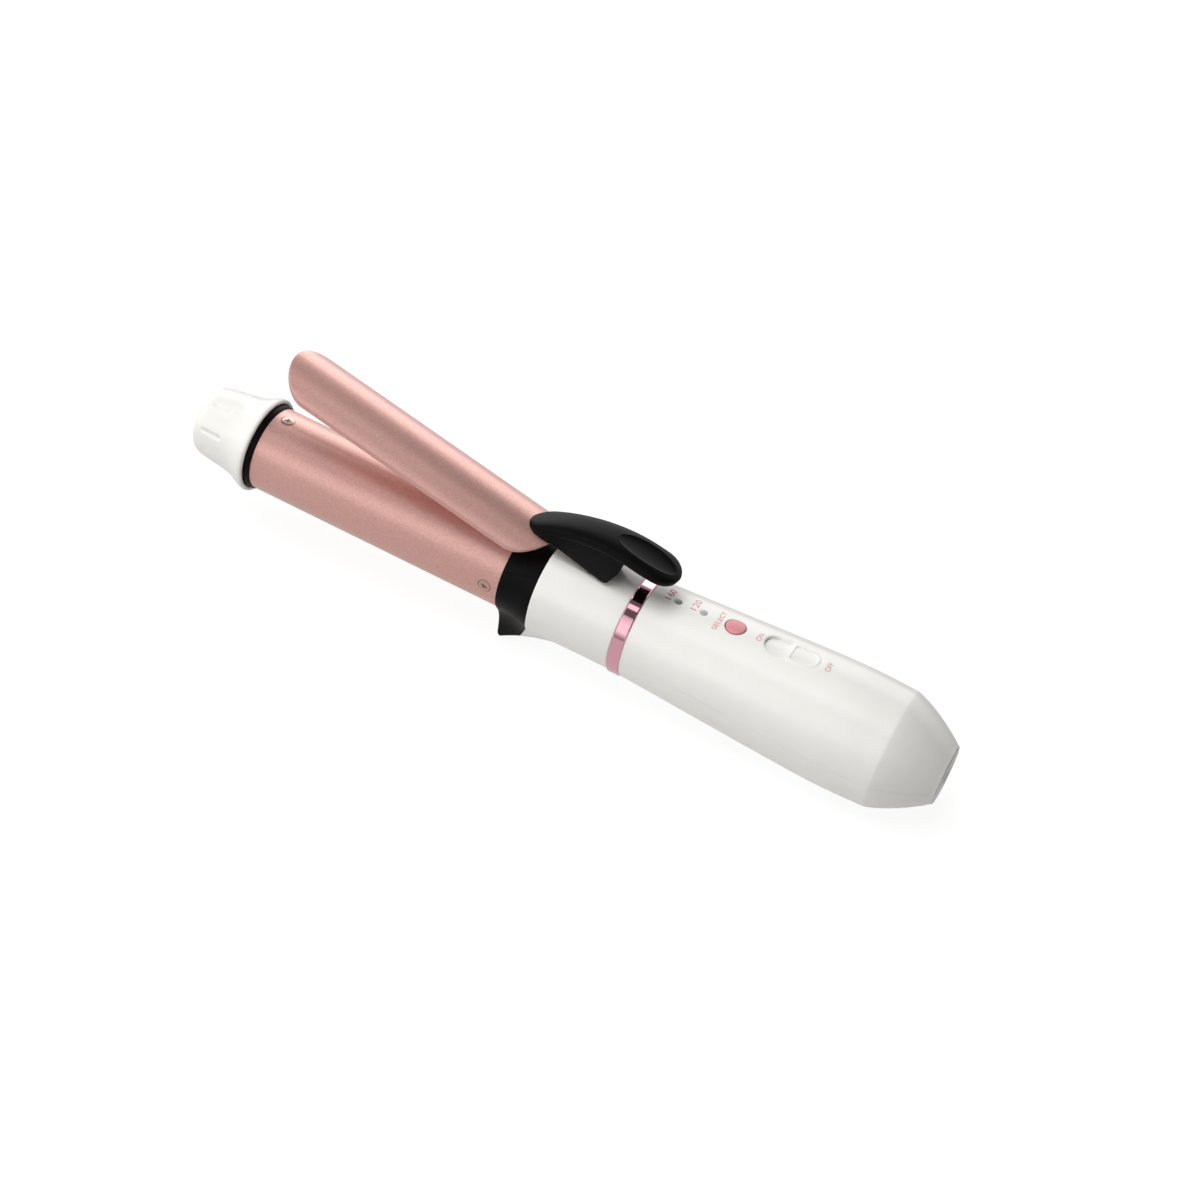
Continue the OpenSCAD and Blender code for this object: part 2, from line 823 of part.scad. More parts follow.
module lever() {
    color(black)
        swing()
            difference() {
                union() {
                    arm();
                    intersection() {
                        translate([0, cheek_w / 2, 0])
                            rotate([90, 0, 0])
                                linear_extrude(cheek_w)
                                    skirt_outline();
                        translate([arc_x, 0, 0])
                            linear_extrude(big)
                                skirt_plan();
                    }
                }
                lever_dish();
                along(clamp_out_r, cheek_front - 0.8, barrel_x + 12);
                difference() {
                    translate([cheek_rear - 5, -cheek_in, 0])
                        cube([pin_r * 2 + 13, 2 * cheek_in, pivot_z + lever_rise - lever_t - 0.9]);
                    spring_rib();
                }
                translate([pivot_x, 0, pivot_z])
                    across(pin_r + pin_clear, pin_half + 0.15);
                for (x = rivet_xs)
                    translate([x, 0, clamp_in_r])
                        cylinder(r = rivet_r, h = rivet_len);
            }
}

module hinge_pin() {
    color(steel)
        translate([pivot_x, 0, pivot_z])
            across(pin_r, pin_half);
}

// Torsion spring around the pin, hidden between the cheeks. Its lower leg leans on a stop on the
// saddle and its upper leg on a rib under the arm, which reaches it when the clamp is fully open.
leg_low = saddle_z + 0.1 - pivot_z;
leg_high = 5.2;
wire_steps = 16;

function wire_path() = concat(
    [[coil_r, -spring_half, leg_low]],
    [for (i = [0:spring_turns * wire_steps]) let (a = 360 * i / wire_steps)
        [coil_r * cos(a), -spring_half + coil_pitch * i / wire_steps, coil_r * sin(a)]],
    [[coil_r, spring_half, leg_high]]);

// A ring of the wire's own outline at each point of its path
function wire_ring(path, i) = let (n = len(path) - 1,
        d = path[min(n, i + 1)] - path[max(0, i - 1)], t = d / norm(d),
        side = [0, 1, 0], u = side - (side * t) * t, un = u / norm(u), v = cross(t, un))
    [for (k = [0:7]) path[i] + wire_r * (cos(45 * k) * un + sin(45 * k) * v)];

module torsion_spring() {
    path = wire_path();
    color(steel)
        translate([pivot_x, 0, pivot_z])
            loft([for (i = [0:len(path) - 1]) wire_ring(path, i)]);
}

// ---------------------------------------------------------------- handle shells

neck_tube_r = ring_r - 2.3 - fit_gap;
neck_in_r = front_bore_r - fit_gap - 2;

cavity = concat([[0, seat_end + 1.6]],
    [[handle_at(seat_end + 1.6) - shell_wall, seat_end + 1.6]],
    [for (p = handle_outline) if (p[1] > seat_end + 2.4 && p[1] < ring_x - 5)
        [p[0] - shell_wall, p[1]]],
    [[neck_r - shell_wall - 0.4, ring_x - 4], [neck_in_r, ring_x - 3], [neck_in_r, front_x + 20],
        [0, front_x + 20]]);

// Both shells together: hollow body, neck through the trim ring and seat for the cord bush
module shell_pair() {
    difference() {
        union() {
            revolve(concat([[0, end_gap]], handle_outline, [[0, ring_x]]));
            along(neck_tube_r, ring_x - 1, front_x);
            along(front_bore_r - fit_gap, front_x - 1, front_x + 9);
        }
        revolve(cavity);
        along(bush_face_r + slide_gap, -1, bush_lip + slide_gap);
        along(bush_r + 0.08, -1, seat_end + 5);
        along(bush_back_r + slide_gap, seat_end - slide_gap, seat_end + 5);
    }
}

module upper_half() {
    translate([-1, -big / 2, 0])
        cube([big, big, big / 2]);
}

module lower_half() {
    translate([-1, -big / 2, -big / 2])
        cube([big, big, big / 2]);
}

// Places of the handle screws
module handle_screw_places() {
    for (place = screw_places)
        translate([place[0], place[1], 0])
            children();
}

module inside_handle() {
    intersection() {
        children();
        revolve(concat([[0, seat_end]],
            [for (p = handle_outline) if (p[1] > seat_end) [p[0] - 0.5, p[1]]], [[0, ring_x]]));
    }
}

module handle_upper() {
    color(white)
        difference() {
            union() {
                intersection() {
                    shell_pair();
                    upper_half();
                }
                inside_handle()
                    handle_screw_places()
                        cylinder(r = boss_r, h = 30);
            }
            handle_screw_places()
                translate([0, 0, -1])
                    cylinder(r = screw_r - 0.2, h = 10);
            translate([button_x, 0, 8])
                cylinder(r = button_r + slide_gap, h = 20);
            for (i = [0, 1])
                translate([led_x + i * led_pitch, 0, 8])
                    cylinder(r = pipe_r + 0.03, h = 20);
            stadium(window_x - window_len / 2, window_x + window_len / 2, window_w, 8, 30);
            on_slope()
                strip(plate_rear - 0.5, plate_front + slide_travel + 0.5, plate_half_w + slide_gap,
                    plate_r + slide_gap, 8);
        }
}

module handle_lower() {
    color(white)
        difference() {
            union() {
                intersection() {
                    shell_pair();
                    lower_half();
                }
                inside_handle()
                    handle_screw_places()
                        translate([0, 0, -30])
                            cylinder(r = boss_r, h = 30);
                inside_handle()
                    for (x = post_xs, y = [-post_y, post_y])
                        translate([x, y, -30])
                            cylinder(r = post_r, h = 30 + board_z);
            }
            handle_screw_places() {
                translate([0, 0, -30])
                    cylinder(r = screw_r + 0.2, h = 40);
                translate([0, 0, -40])
                    cylinder(r = 2.6, h = 40 - 6);
            }
            for (x = post_xs, y = [-post_y, post_y])
                translate([x, y, -2])
                    cylinder(r = 0.9, h = 20);
        }
}

module handle_screws() {
    color(steel)
        handle_screw_places()
            union() {
                translate([0, 0, -6])
                    cylinder(r = screw_r - 0.2, h = 13.5);
                difference() {
                    translate([0, 0, -8])
                        cylinder(r = 2.3, h = 2);
                    for (turn = [0, 90])
                        rotate([0, 0, turn])
                            translate([-1.3, -0.25, -9])
                                cube([2.6, 0.5, 2]);
                }
            }
}

// ---------------------------------------------------------------- electronics

module circuit_board() {
    color(board_green)
        difference() {
            translate([board_x0, -board_half_w, board_z])
                cube([board_x1 - board_x0, 2 * board_half_w, board_t]);
            handle_screw_places()
                cylinder(r = boss_r + 0.3, h = 20);
            for (x = post_xs, y = [-post_y, post_y])
                translate([x, y, 0])
                    cylinder(r = 1, h = 20);
        }
}

module board_screws() {
    color(steel)
        for (x = post_xs, y = [-post_y, post_y])
            translate([x, y, 0])
                union() {
                    translate([0, 0, board_top])
                        cylinder(r = 1.7, h = 1.2);
                    translate([0, 0, board_z - 4])
                        cylinder(r = 0.9, h = 4 + board_t);
                }
}

switch_h = 4;
plunger_r = 1.7;
button_top = handle_at(button_x) + 0.3;
stem_z = board_top + switch_h + 0.8;

module select_button() {
    color(pink)
        translate([button_x, 0, 0])
            union() {
                translate([0, 0, handle_at(button_x) - 3])
                    rotate_extrude()
                        polygon(concat([[0, 0], [button_r, 0], [button_r, 2.7]],
                            bez([button_r - 0.1, 2.95], [button_r - 0.4, 3.15],
                                [button_r / 2, 3.3], [0, 3.3], 5)));
                translate([0, 0, handle_at(button_x) - 4.2])
                    cylinder(r = button_r + 0.7, h = 1.2);
                translate([0, 0, stem_z])
                    cylinder(r = 1.3, h = handle_at(button_x) - 4 - stem_z);
            }
}

module button_switch() {
    color("#2a2b2d")
        difference() {
            translate([button_x - 3, -3, board_top])
                cube([6, 6, switch_h]);
            translate([button_x, 0, board_top + 1])
                cylinder(r = plunger_r + 0.1, h = 10);
        }
}

module switch_plunger() {
    color("#c9b36a")
        translate([button_x, 0, board_top + 1 + button_travel + 0.1])
            cylinder(r = plunger_r, h = stem_z - board_top - 1 - button_travel - 0.1);
}

actuator_half = 1.5;
actuator_h = 2.7;
slide_body_h = plate_base - board_top - 2;
fork_x = knob_rear + knob_len / 2 - 0.6;

// Tilts what lies under the slide switch's window to the slope of the handle's surface there
module on_slope() {
    translate([window_x, 0, slide_r])
        rotate([0, slide_slope, 0])
            translate([-window_x, 0, -slide_r])
                children();
}

// The part of a cylinder along the axis that lies over a straight strip, above height z0
module strip(x0, x1, half, r, z0) {
    intersection() {
        along(r, x0, x1);
        translate([x0, -half, z0])
            cube([x1 - x0, 2 * half, r]);
    }
}

module slide_knob() {
    color(white)
        on_slope()
            difference() {
                union() {
                    difference() {
                        strip(plate_rear, plate_front, plate_half_w, plate_r, 8);
                        along(plate_base, plate_rear - 1, plate_front + 1);
                    }
                    knob_form(0, plate_base, slide_r + 0.1);
                    for (side = [-1, 1])
                        translate([fork_x + side * (actuator_half + 0.85), -2, plate_base - 1.4])
                            cube([1.2, 4, 1.9]);
                }
                knob_form(0.8, slide_r - 0.4, slide_r + 5);
            }
}

// D outline: straight at the front, round at the rear; inset shrinks it
module knob_form(inset, z0, z1) {
    r = knob_w / 2;
    translate([0, 0, z0])
        linear_extrude(z1 - z0)
            intersection() {
                union() {
                    translate([knob_rear + r, 0])
                        circle(r = r - inset);
                    translate([knob_rear + r, -r + inset])
                        square([knob_len, 2 * (r - inset)]);
                }
                translate([knob_rear, -r])
                    square([knob_len - inset, knob_w]);
            }
}

module slide_switch() {
    color("#3a3c40")
        difference() {
            translate([knob_rear + knob_len / 2 - 4.5, -3.2, board_top])
                cube([9 + slide_travel, 6.4, slide_body_h]);
            translate([knob_rear + knob_len / 2 - actuator_half - 0.2, -1.2,
                board_top + slide_body_h - 1.9])
                cube([2 * actuator_half + slide_travel + 0.4, 2.4, 5]);
        }
}

module slide_actuator() {
    color("#e9e9e4")
        translate([knob_rear + knob_len / 2 - actuator_half, -1,
            board_top + slide_body_h - 1.3])
            cube([2 * actuator_half, 2, actuator_h]);
}

module light_pipes() {
    color("#c8ccc9")
        for (i = [0, 1])
            let (x = led_x + i * led_pitch)
                translate([x, 0, 0])
                    union() {
                        translate([0, 0, board_top + 3])
                            cylinder(r = pipe_r, h = handle_at(x) - board_top - 3);
                        translate([0, 0, handle_at(x) - shell_wall - 1.5])
                            cylinder(r = pipe_r + 0.8, h = 1);
                    }
}

module leds() {
    color("#f2d9a8")
        for (i = [0, 1])
            translate([led_x + i * led_pitch, 0, board_top])
                union() {
                    translate([-1.6, -1.6, 0])
                        cube([3.2, 3.2, 1]);
                    cylinder(r = 1.4, h = 2.8);
                }
}

module capacitor() {
    color("#b8362c")
        translate([board_x0 + 10, -5, board_z - 8])
            cube([13, 10, 8]);
}

module triac() {
    color("#26272a")
        translate([block_x0 - 16.5, -5, board_z - 4.5])
            union() {
                cube([9, 10, 4.5]);
                translate([9, 0, 0])
                    cube([6, 10, 1.3]);
                translate([13.5, 5, 1])
                    cylinder(r = 1.2, h = 3.5);
            }
}

// ---------------------------------------------------------------- cord inlet

// Bush that turns in the handle's end and carries the cord's bore
module cord_bush() {
    color(white)
        revolve([[inlet_r, 0], [bush_face_r - 0.4, 0], [bush_face_r, 0.4], [bush_face_r, bush_lip],
            [bush_r, bush_lip], [bush_r, seat_end], [bush_back_r, seat_end],
            [bush_back_r, inlet_len], [inlet_r, inlet_len]]);
}

tip_cap();
tip_plug();
barrel_tube();
barrel_screws();
heat_spreader_upper();
heat_spreader_lower();
ptc_heater();
heater_spring();
thermistor();
thermal_fuse();
heater_leads();
terminal_block();
collar();
front_housing();
trim_ring();
clamp_plate();
lever();
clamp_rivets();
hinge_pin();
torsion_spring();
handle_upper();
handle_lower();
handle_screws();
circuit_board();
board_screws();
select_button();
button_switch();
switch_plunger();
slide_knob();
slide_switch();
slide_actuator();
light_pipes();
leds();
capacitor();
triac();
cord_bush();
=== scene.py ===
import math

import bmesh
import bpy
from mathutils import Matrix, Vector


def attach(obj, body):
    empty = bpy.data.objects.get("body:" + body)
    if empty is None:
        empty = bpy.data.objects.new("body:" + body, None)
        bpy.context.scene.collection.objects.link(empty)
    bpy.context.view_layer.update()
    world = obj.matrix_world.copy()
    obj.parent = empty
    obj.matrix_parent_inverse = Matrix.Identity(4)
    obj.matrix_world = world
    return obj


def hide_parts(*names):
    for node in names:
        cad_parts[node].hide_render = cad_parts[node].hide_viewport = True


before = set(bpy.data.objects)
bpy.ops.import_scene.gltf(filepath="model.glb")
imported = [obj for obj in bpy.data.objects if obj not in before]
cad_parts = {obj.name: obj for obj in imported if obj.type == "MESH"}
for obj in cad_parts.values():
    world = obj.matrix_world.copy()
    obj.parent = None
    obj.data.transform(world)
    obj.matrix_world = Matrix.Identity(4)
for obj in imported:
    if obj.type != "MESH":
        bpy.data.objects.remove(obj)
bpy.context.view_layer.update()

# The curling iron, from the handle forward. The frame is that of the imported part: the barrel axis
# is X with the tip at +X, and the thumb lever and the controls are on the +Z side. Pieces are
# modelled in millimetres and turned to metres when they are finished.
mm = 0.001
scene = bpy.context.scene

# ---------------------------------------- camera, floor and light
# A plain pale studio: the iron rests on its stand foot and on the belly of the handle, so the
# floor leans with it by about three degrees. Two soft boxes light it from above and from the near
# side.
scene.view_settings.view_transform = "Standard"

camera = bpy.data.objects.new("camera", bpy.data.cameras.new("camera"))
scene.collection.objects.link(camera)
scene.camera = camera
camera.data.sensor_width = 36
camera.data.lens = 69.53
camera.data.clip_start, camera.data.clip_end = 0.05, 20
# it looks down at the barrel's axis from behind the handle's side, rolled so that the iron slants
camera_place = Vector((-38.45, 470.36, 459.45))
camera_aim = Vector((112.19, -2.75, 0))
camera_roll = 13.684
camera.matrix_world = (
    Matrix.Translation(camera_place * mm)
    @ (camera_place - camera_aim).to_track_quat("Z", "Y").to_matrix().to_4x4()
    @ Matrix.Rotation(math.radians(camera_roll), 4, "Z"))


def linear(code):
    """An sRGB hex colour as linear RGBA."""
    parts = [int(code[i:i + 2], 16) / 255 for i in (1, 3, 5)]
    return [c / 12.92 if c <= 0.04045 else ((c + 0.055) / 1.055) ** 2.4 for c in parts] + [1.0]


def add(tree, kind, links=(), **settings):
    """Adds a node with its settings; links are (input, output socket) pairs."""
    made = tree.nodes.new(kind)
    for key, value in settings.items():
        if hasattr(made, key) and key not in made.inputs:
            setattr(made, key, value)
        else:
            made.inputs[key.replace("_", " ")].default_value = value
    for name, socket in links:
        tree.links.new(socket, made.inputs[name])
    return made


def empty_material(name, slot=""):
    """A material and its node tree, with nothing in it yet; slot is the record's name for it."""
    made = bpy.data.materials.new(name)
    made["slot"] = slot
    made.use_nodes = True
    made.node_tree.nodes.clear()
    return made, made.node_tree


def picked(tree, kind, other, chosen):
    """The shader chosen for rays of a kind, such as Camera or Glossy, and other for the rest."""
    is_kind = add(tree, "ShaderNodeLightPath").outputs["Is %s Ray" % kind]
    return add(tree, "ShaderNodeMixShader",
               [(0, is_kind), (1, other.outputs[0]), (2, chosen.outputs[0])])


def rotated(bm, turn, axis, cent=(0, 0, 0)):
    """Turns a shape about an axis through cent; turn is in radians."""
    bmesh.ops.rotate(bm, cent=cent, matrix=Matrix.Rotation(turn, 3, axis), verts=bm.verts)
    return bm


def moved(bm, by):
    """Moves a shape by a vector."""
    bmesh.ops.translate(bm, vec=by, verts=bm.verts)
    return bm


# White paper sweep: it shows its own white to the camera and keeps only part of its shading, so
# the shadow stays soft and faint
foot_tip = Vector((138.2, 0, -24))
belly = Vector((33, 0, -18.55))
floor_tilt = math.atan2(belly.z - foot_tip.z, foot_tip.x - belly.x)
bm = bmesh.new()
bmesh.ops.create_grid(bm, x_segments=1, y_segments=1, size=3)
moved(rotated(bm, floor_tilt, "Y"), belly * mm)
mesh = bpy.data.meshes.new("studio_floor")
bm.to_mesh(mesh)
bm.free()
floor = bpy.data.objects.new("studio_floor", mesh)
scene.collection.objects.link(floor)
paper, tree = empty_material("white_paper_sweep")
matt = add(tree, "ShaderNodeBsdfDiffuse", Color=linear("#dcdcdc"))
glow = add(tree, "ShaderNodeEmission", Color=(1, 1, 1, 1), Strength=1.2)
bright = add(tree, "ShaderNodeMixShader", [(1, matt.outputs[0]), (2, glow.outputs[0])], Fac=0.75)
# what mirrors see of the floor: the far side of the sweep, unlit
dusk = add(tree, "ShaderNodeEmission", Color=linear("#d8d4d2"), Strength=0.95)
shown = picked(tree, "Camera", picked(tree, "Glossy", matt, dusk), bright)
add(tree, "ShaderNodeOutputMaterial", [("Surface", shown.outputs[0])])
floor.data.materials.append(paper)

# Straight on the studio is white, and its light comes mostly from the tip's side. Mirrors see
# bands of light and dark that run along the iron: places are turns about X, 0 down, 0.5 up and
# 0.75 towards +Y
world = bpy.data.worlds.new("studio")
scene.world = world
world.use_nodes = True
tree = world.node_tree
tree.nodes.clear()
coords = add(tree, "ShaderNodeTexCoord")
away = add(tree, "ShaderNodeSeparateXYZ", [("Vector", coords.outputs["Generated"])])
lit = add(tree, "ShaderNodeMapRange", [("Value", away.outputs["X"])],
          From_Min=-0.4, From_Max=0.4, To_Min=0.0, To_Max=0.76)
ambient = add(tree, "ShaderNodeBackground", [("Strength", lit.outputs[0])],
              Color=(1.0, 0.985, 0.96, 1))
turn = add(tree, "ShaderNodeMath", [(0, away.outputs["Y"]), (1, away.outputs["Z"])],
           operation="ARCTAN2")
around_x = add(tree, "ShaderNodeMapRange", [("Value", turn.outputs[0])],
               From_Min=-math.pi, From_Max=math.pi)
bands = add(tree, "ShaderNodeValToRGB", [("Fac", around_x.outputs[0])])
stops = bands.color_ramp.elements
for place, level in ((0.0, 0.1), (0.2, 0.3), (0.24, 1.5), (0.28, 2.0), (0.365, 2.0), (0.375, 0.3),
                     (0.525, 0.1), (0.53, 1.1), (0.555, 1.1), (0.56, 0.12), (0.6, 0.12),
                     (0.61, 0.75), (0.66, 1.1), (0.705, 1.1), (0.74, 0.3), (1.0, 0.25)):
    stop = stops.new(place) if 0 < place < 1 else stops[int(place)]
    stop.color = (level, level, level, 1)
side = add(tree, "ShaderNodeMapRange", [("Value", away.outputs["X"])],
           From_Min=-0.9, From_Max=0.3, To_Min=0.3, To_Max=1.2)
banded = add(tree, "ShaderNodeBackground",
             [("Color", bands.outputs[0]), ("Strength", side.outputs[0])])
white = add(tree, "ShaderNodeBackground", Color=(1, 1, 1, 1), Strength=1.0)
shown = picked(tree, "Camera", picked(tree, "Glossy", ambient, banded), white)
add(tree, "ShaderNodeOutputWorld", [("Surface", shown.outputs[0])])


def soft_box(name, place, size, watts):
    """A rectangular soft light at a place, turned towards the middle of the iron."""
    middle = Vector((0.125, 0, 0))
    lamp = bpy.data.objects.new(name, bpy.data.lights.new(name, "AREA"))
    scene.collection.objects.link(lamp)
    lamp.data.shape = "RECTANGLE"
    lamp.data.size, lamp.data.size_y = size
    lamp.data.energy = watts
    lamp.location = Vector(place)
    lamp.rotation_euler = (Vector(place) - middle).to_track_quat("Z", "Y").to_euler()
    lamp.visible_glossy = False


soft_box("overhead_box", (0.38, 0.1, 0.9), (0.8, 0.6), 5.7)
soft_box("side_card", (0.55, 0.95, 0.3), (0.7, 0.5), 2.6)

# ---------------------------------------- handle halves
# Two ABS half shells, each moulded with a 2 mm wall and screwed together from below: a long soft
# bulge, a soft crease and a tapered end. The parting line runs along both sides.


def bezier(a, b, c, d, steps):
    """Points of a cubic Bezier curve, its ends included."""
    a, b, c, d = (Vector(p) for p in (a, b, c, d))
    return [a * (1 - t) ** 3 + 3 * b * t * (1 - t) ** 2 + 3 * c * t * t * (1 - t) + d * t ** 3
            for t in (i / steps for i in range(steps + 1))]


def turned(outline, steps=128, sweep=math.tau):
    """An outline of (x, radius) points spun about the X axis from +Y by an angle."""
    bm = bmesh.new()
    ring = [bm.verts.new((x, r, 0)) for x, r in outline]
    rim = [bm.edges.new(pair) for pair in zip(ring, ring[1:])]
    if min(outline[0][1], outline[-1][1]) > 0:
        rim.append(bm.edges.new((ring[-1], ring[0])))
    whole = abs(sweep) == math.tau
    bmesh.ops.spin(bm, geom=ring + rim, cent=(0, 0, 0), axis=(1, 0, 0), angle=sweep, steps=steps,
                   use_merge=whole)
    bmesh.ops.remove_doubles(bm, verts=bm.verts, dist=1e-4)
    if not whole:
        bmesh.ops.holes_fill(bm, edges=[e for e in bm.edges if e.is_boundary], sides=0)
    return bm


def woven(place, across, down):
    """A closed skin: a grid of across x down cells whose points place(i, j) gives."""
    bm = bmesh.new()
    bmesh.ops.create_grid(bm, x_segments=across, y_segments=down, size=1)
    for v in bm.verts:
        v.co = place(round((v.co.x + 1) * across / 2), round((v.co.y + 1) * down / 2))
    bmesh.ops.remove_doubles(bm, verts=bm.verts, dist=1e-4)
    bmesh.ops.dissolve_degenerate(bm, edges=bm.edges, dist=1e-5)
    return bm


def outward(bm):
    """Turns all faces of a closed shape outward."""
    bmesh.ops.recalc_face_normals(bm, faces=bm.faces)
    if bm.calc_volume(signed=True) < 0:
        bmesh.ops.reverse_faces(bm, faces=bm.faces)


def carved(bm, *tools, operation="DIFFERENCE"):
    """bm with closed shapes taken out of it one after another, joined to it or kept of it."""
    for tool in tools:
        pair = []
        for part in (bm, tool):
            outward(part)
            mesh = bpy.data.meshes.new("cut")
            part.to_mesh(mesh)
            part.free()
            pair.append(bpy.data.objects.new("cut", mesh))
            scene.collection.objects.link(pair[-1])
        cut = pair[0].modifiers.new("cut", "BOOLEAN")
        cut.object, cut.operation, cut.solver = pair[1], operation, "EXACT"
        shape = bpy.data.meshes.new_from_object(
            pair[0].evaluated_get(bpy.context.evaluated_depsgraph_get()))
        bm = bmesh.new()
        bm.from_mesh(shape)
        for done in pair:
            mesh = done.data
            bpy.data.objects.remove(done)
            bpy.data.meshes.remove(mesh)
        bpy.data.meshes.remove(shape)
        bmesh.ops.remove_doubles(bm, verts=bm.verts, dist=1e-4)
    return bm


def merged(shapes):
    """Shapes that don't touch, as one."""
    for other in shapes[1:]:
        mesh = bpy.data.meshes.new("part")
        other.to_mesh(mesh)
        other.free()
        shapes[0].from_mesh(mesh)
        bpy.data.meshes.remove(mesh)
    return shapes[0]


def finished(name, bm, finish, body, stands_for=(), sharp=35):
    """Makes the object of a shape in millimetres, smooth but for edges sharper than an angle in
    degrees, and lets it ride."""
    outward(bm)
    bmesh.ops.scale(bm, vec=(mm, mm, mm), verts=bm.verts)
    for edge in bm.edges:
        edge.smooth = (len(edge.link_faces) == 2
                       and edge.calc_face_angle() < math.radians(sharp))
    for face in bm.faces:
        face.smooth = True
    mesh = bpy.data.meshes.new(name)
    bm.to_mesh(mesh)
    bm.free()
    made = bpy.data.objects.new(name, mesh)
    scene.collection.objects.link(made)
    made.data.materials.append(finish)
    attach(made, body)
    if stands_for:
        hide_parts(*stands_for)


def clouded(name, slot, dark, light, spacing, stretch=None, **settings):
    """A finish that wavers between two colours, with spacing in mm between its clouds, drawn out
    along an axis by stretch."""
    made, tree = empty_material(name, slot)
    where = add(tree, "ShaderNodeTexCoord").outputs["Object"]
    if stretch:
        where = add(tree, "ShaderNodeMapping", [("Vector", where)],
                    Scale=[1 / k for k in stretch]).outputs[0]
    cloud = add(tree, "ShaderNodeTexNoise", [("Vector", where)], Scale=1 / (spacing * mm),
                Detail=2.0)
    shade = add(tree, "ShaderNodeMix", [("Factor", cloud.outputs["Fac"])], data_type="RGBA")
    shade.inputs[6].default_value = linear(dark)
    shade.inputs[7].default_value = linear(light)
    skin = add(tree, "ShaderNodeBsdfPrincipled", [("Base Color", shade.outputs[2])], **settings)
    add(tree, "ShaderNodeOutputMaterial", [("Surface", skin.outputs[0])])
    return made


# ABS with a pearl-white satin lacquer, moulded in polished steel: broad soft highlights and no
# grain, only a faint cloudiness of the pearl, about 6 mm between its clouds
white_abs = clouded("abs_pearl_white_lacquer", "white_shell", "#edece8", "#f1f0ec", 5.88,
                    Roughness=0.3, IOR=1.5, Coat_Weight=0.25, Coat_Roughness=0.12)
ring_x = 96.6
crease = (17.0, 18.0)
wall = 2.0
bush_hole = 8.25
long_outline = (bezier(crease, (23, 18.2), (24, 18.4), (32, 18.4), 14)
                + bezier((32, 18.4), (41, 18.4), (66.6, 16.8), (ring_x - 0.2, 15.22), 30)[1:])
end_outline = bezier((1.1, 9.5), (4.3, 11.9), (10.3, 15.9), crease, 20)
handle_outline = ([Vector(p) for p in ((0.2, 8.6), (0.25, 8.85), (0.42, 9.08), (0.7, 9.25))]
                  + end_outline[:-2]
                  + bezier(end_outline[-3], crease, crease, long_outline[1], 10)[1:]
                  + long_outline[2:] + [Vector((ring_x, 15.05))])


def handle_r(x):
    """Radius of the handle's surface at a place along the axis."""
    for a, b in zip(handle_outline, handle_outline[1:]):
        if a.x <= x <= b.x:
            return a.y + (b.y - a.y) * (x - a.x) / max(b.x - a.x, 1e-6)
    return handle_outline[-1].y


bush_seat = 4.6
inner_outline = [Vector((x, handle_r(x) - wall))
                 for x in (94, 84, 72, 60, 48, 38, 30, 22, 17, 13, 9, 6, bush_seat)]
shell_outline = ([Vector((0.2, bush_hole))] + handle_outline + [Vector((ring_x, 12.8))]
                 + inner_outline + [Vector((bush_seat, bush_hole))])


def half_shell(side):
    """One half of the handle, closed along the parting line, whose outer edges are barely
    rounded."""
    bm = turned(shell_outline, steps=80, sweep=side * math.pi)
    bmesh.ops.recalc_face_normals(bm, faces=bm.faces)
    rim = [e for e in bm.edges if all(abs(v.co.z) < 1e-4 for v in e.verts)
           and all(math.hypot(v.co.y, v.co.z) > handle_r(v.co.x) - 0.02 for v in e.verts)]
    bmesh.ops.bevel(bm, geom=rim, offset=0.1, segments=2, profile=0.5, affect="EDGES",
                    material=-1)
    return bm


def wrapped(bm):
    """Wraps a shape drawn flat round the handle: y becomes the way round it and z the height
    above it."""
    for v in bm.verts:
        reach, turn = handle_r(v.co.x) + v.co.z, v.co.y / handle_r(v.co.x)
        v.co = Vector((v.co.x, reach * math.sin(turn), reach * math.cos(turn)))
    return bm


def pill(length, width, steps=24):
    """Outline of a pill about (0, 0), or of a circle where length and width are the same."""
    r, half = width / 2, (length - width) / 2
    turns = [math.pi * (i / steps - 0.5) for i in range(steps + 1)]
    right = [Vector((half + r * math.cos(t), r * math.sin(t))) for t in turns]
    return right + [-p for p in right]


def stacked(outline, rows):
    """A closed shape of an outline in steps: rows are (how far it is drawn in, height). A row
    drawn in by None is its middle, which closes the shape."""
    n = len(outline)
    centre = sum(outline, Vector((0, 0))) / n
    normals = []
    for i in range(n):
        along = outline[(i + 1) % n] - outline[i - 1]
        normals.append(Vector((along.y, -along.x)).normalized())

    def place(i, j):
        inset, height = rows[j]
        if inset is None:
            return Vector((*centre, height))
        return Vector((*(outline[i % n] - normals[i % n] * inset), height))

    return woven(place, n, len(rows) - 1)


def opening(x, length, width, rim):
    """The tool for an opening in the handle's wall, whose rim is rounded by its flare."""
    above, depth = 1.2, 4
    flare = [(-rim * (1 - math.sqrt(1 - (1 - t) ** 2)), -rim * t)
             for t in (0, 0.08, 0.2, 0.4, 0.7, 1)]
    rows = [(None, above), (-rim, above)] + flare + [(0, -depth), (None, -depth)]
    return wrapped(moved(stacked(pill(length, width), rows), (x, 0, 0)))


window_x, window_len, window_w = 52.5, 16.8, 7.6
button_x, button_r = 70.3, 3.0
light_xs, light_r = (80.4, 88.4), 1.1
button_hole, light_hole = 2 * button_r + 0.4, 2 * light_r + 0.1
upper = carved(half_shell(1), opening(window_x, window_len, window_w, 0.6),
               opening(button_x, button_hole, button_hole, 0.25),
               *[opening(x, light_hole, light_hole, 0.12) for x in light_xs])
finished("handle_upper_shell", upper, white_abs, "iron", ["handle_upper"])

handle_screw_places = ((25, 9), (25, -9), (64.0, 9.5), (64.0, -9.5))
boss_r, well_r, screw_hole_r = 2.9, 2.6, 1.5


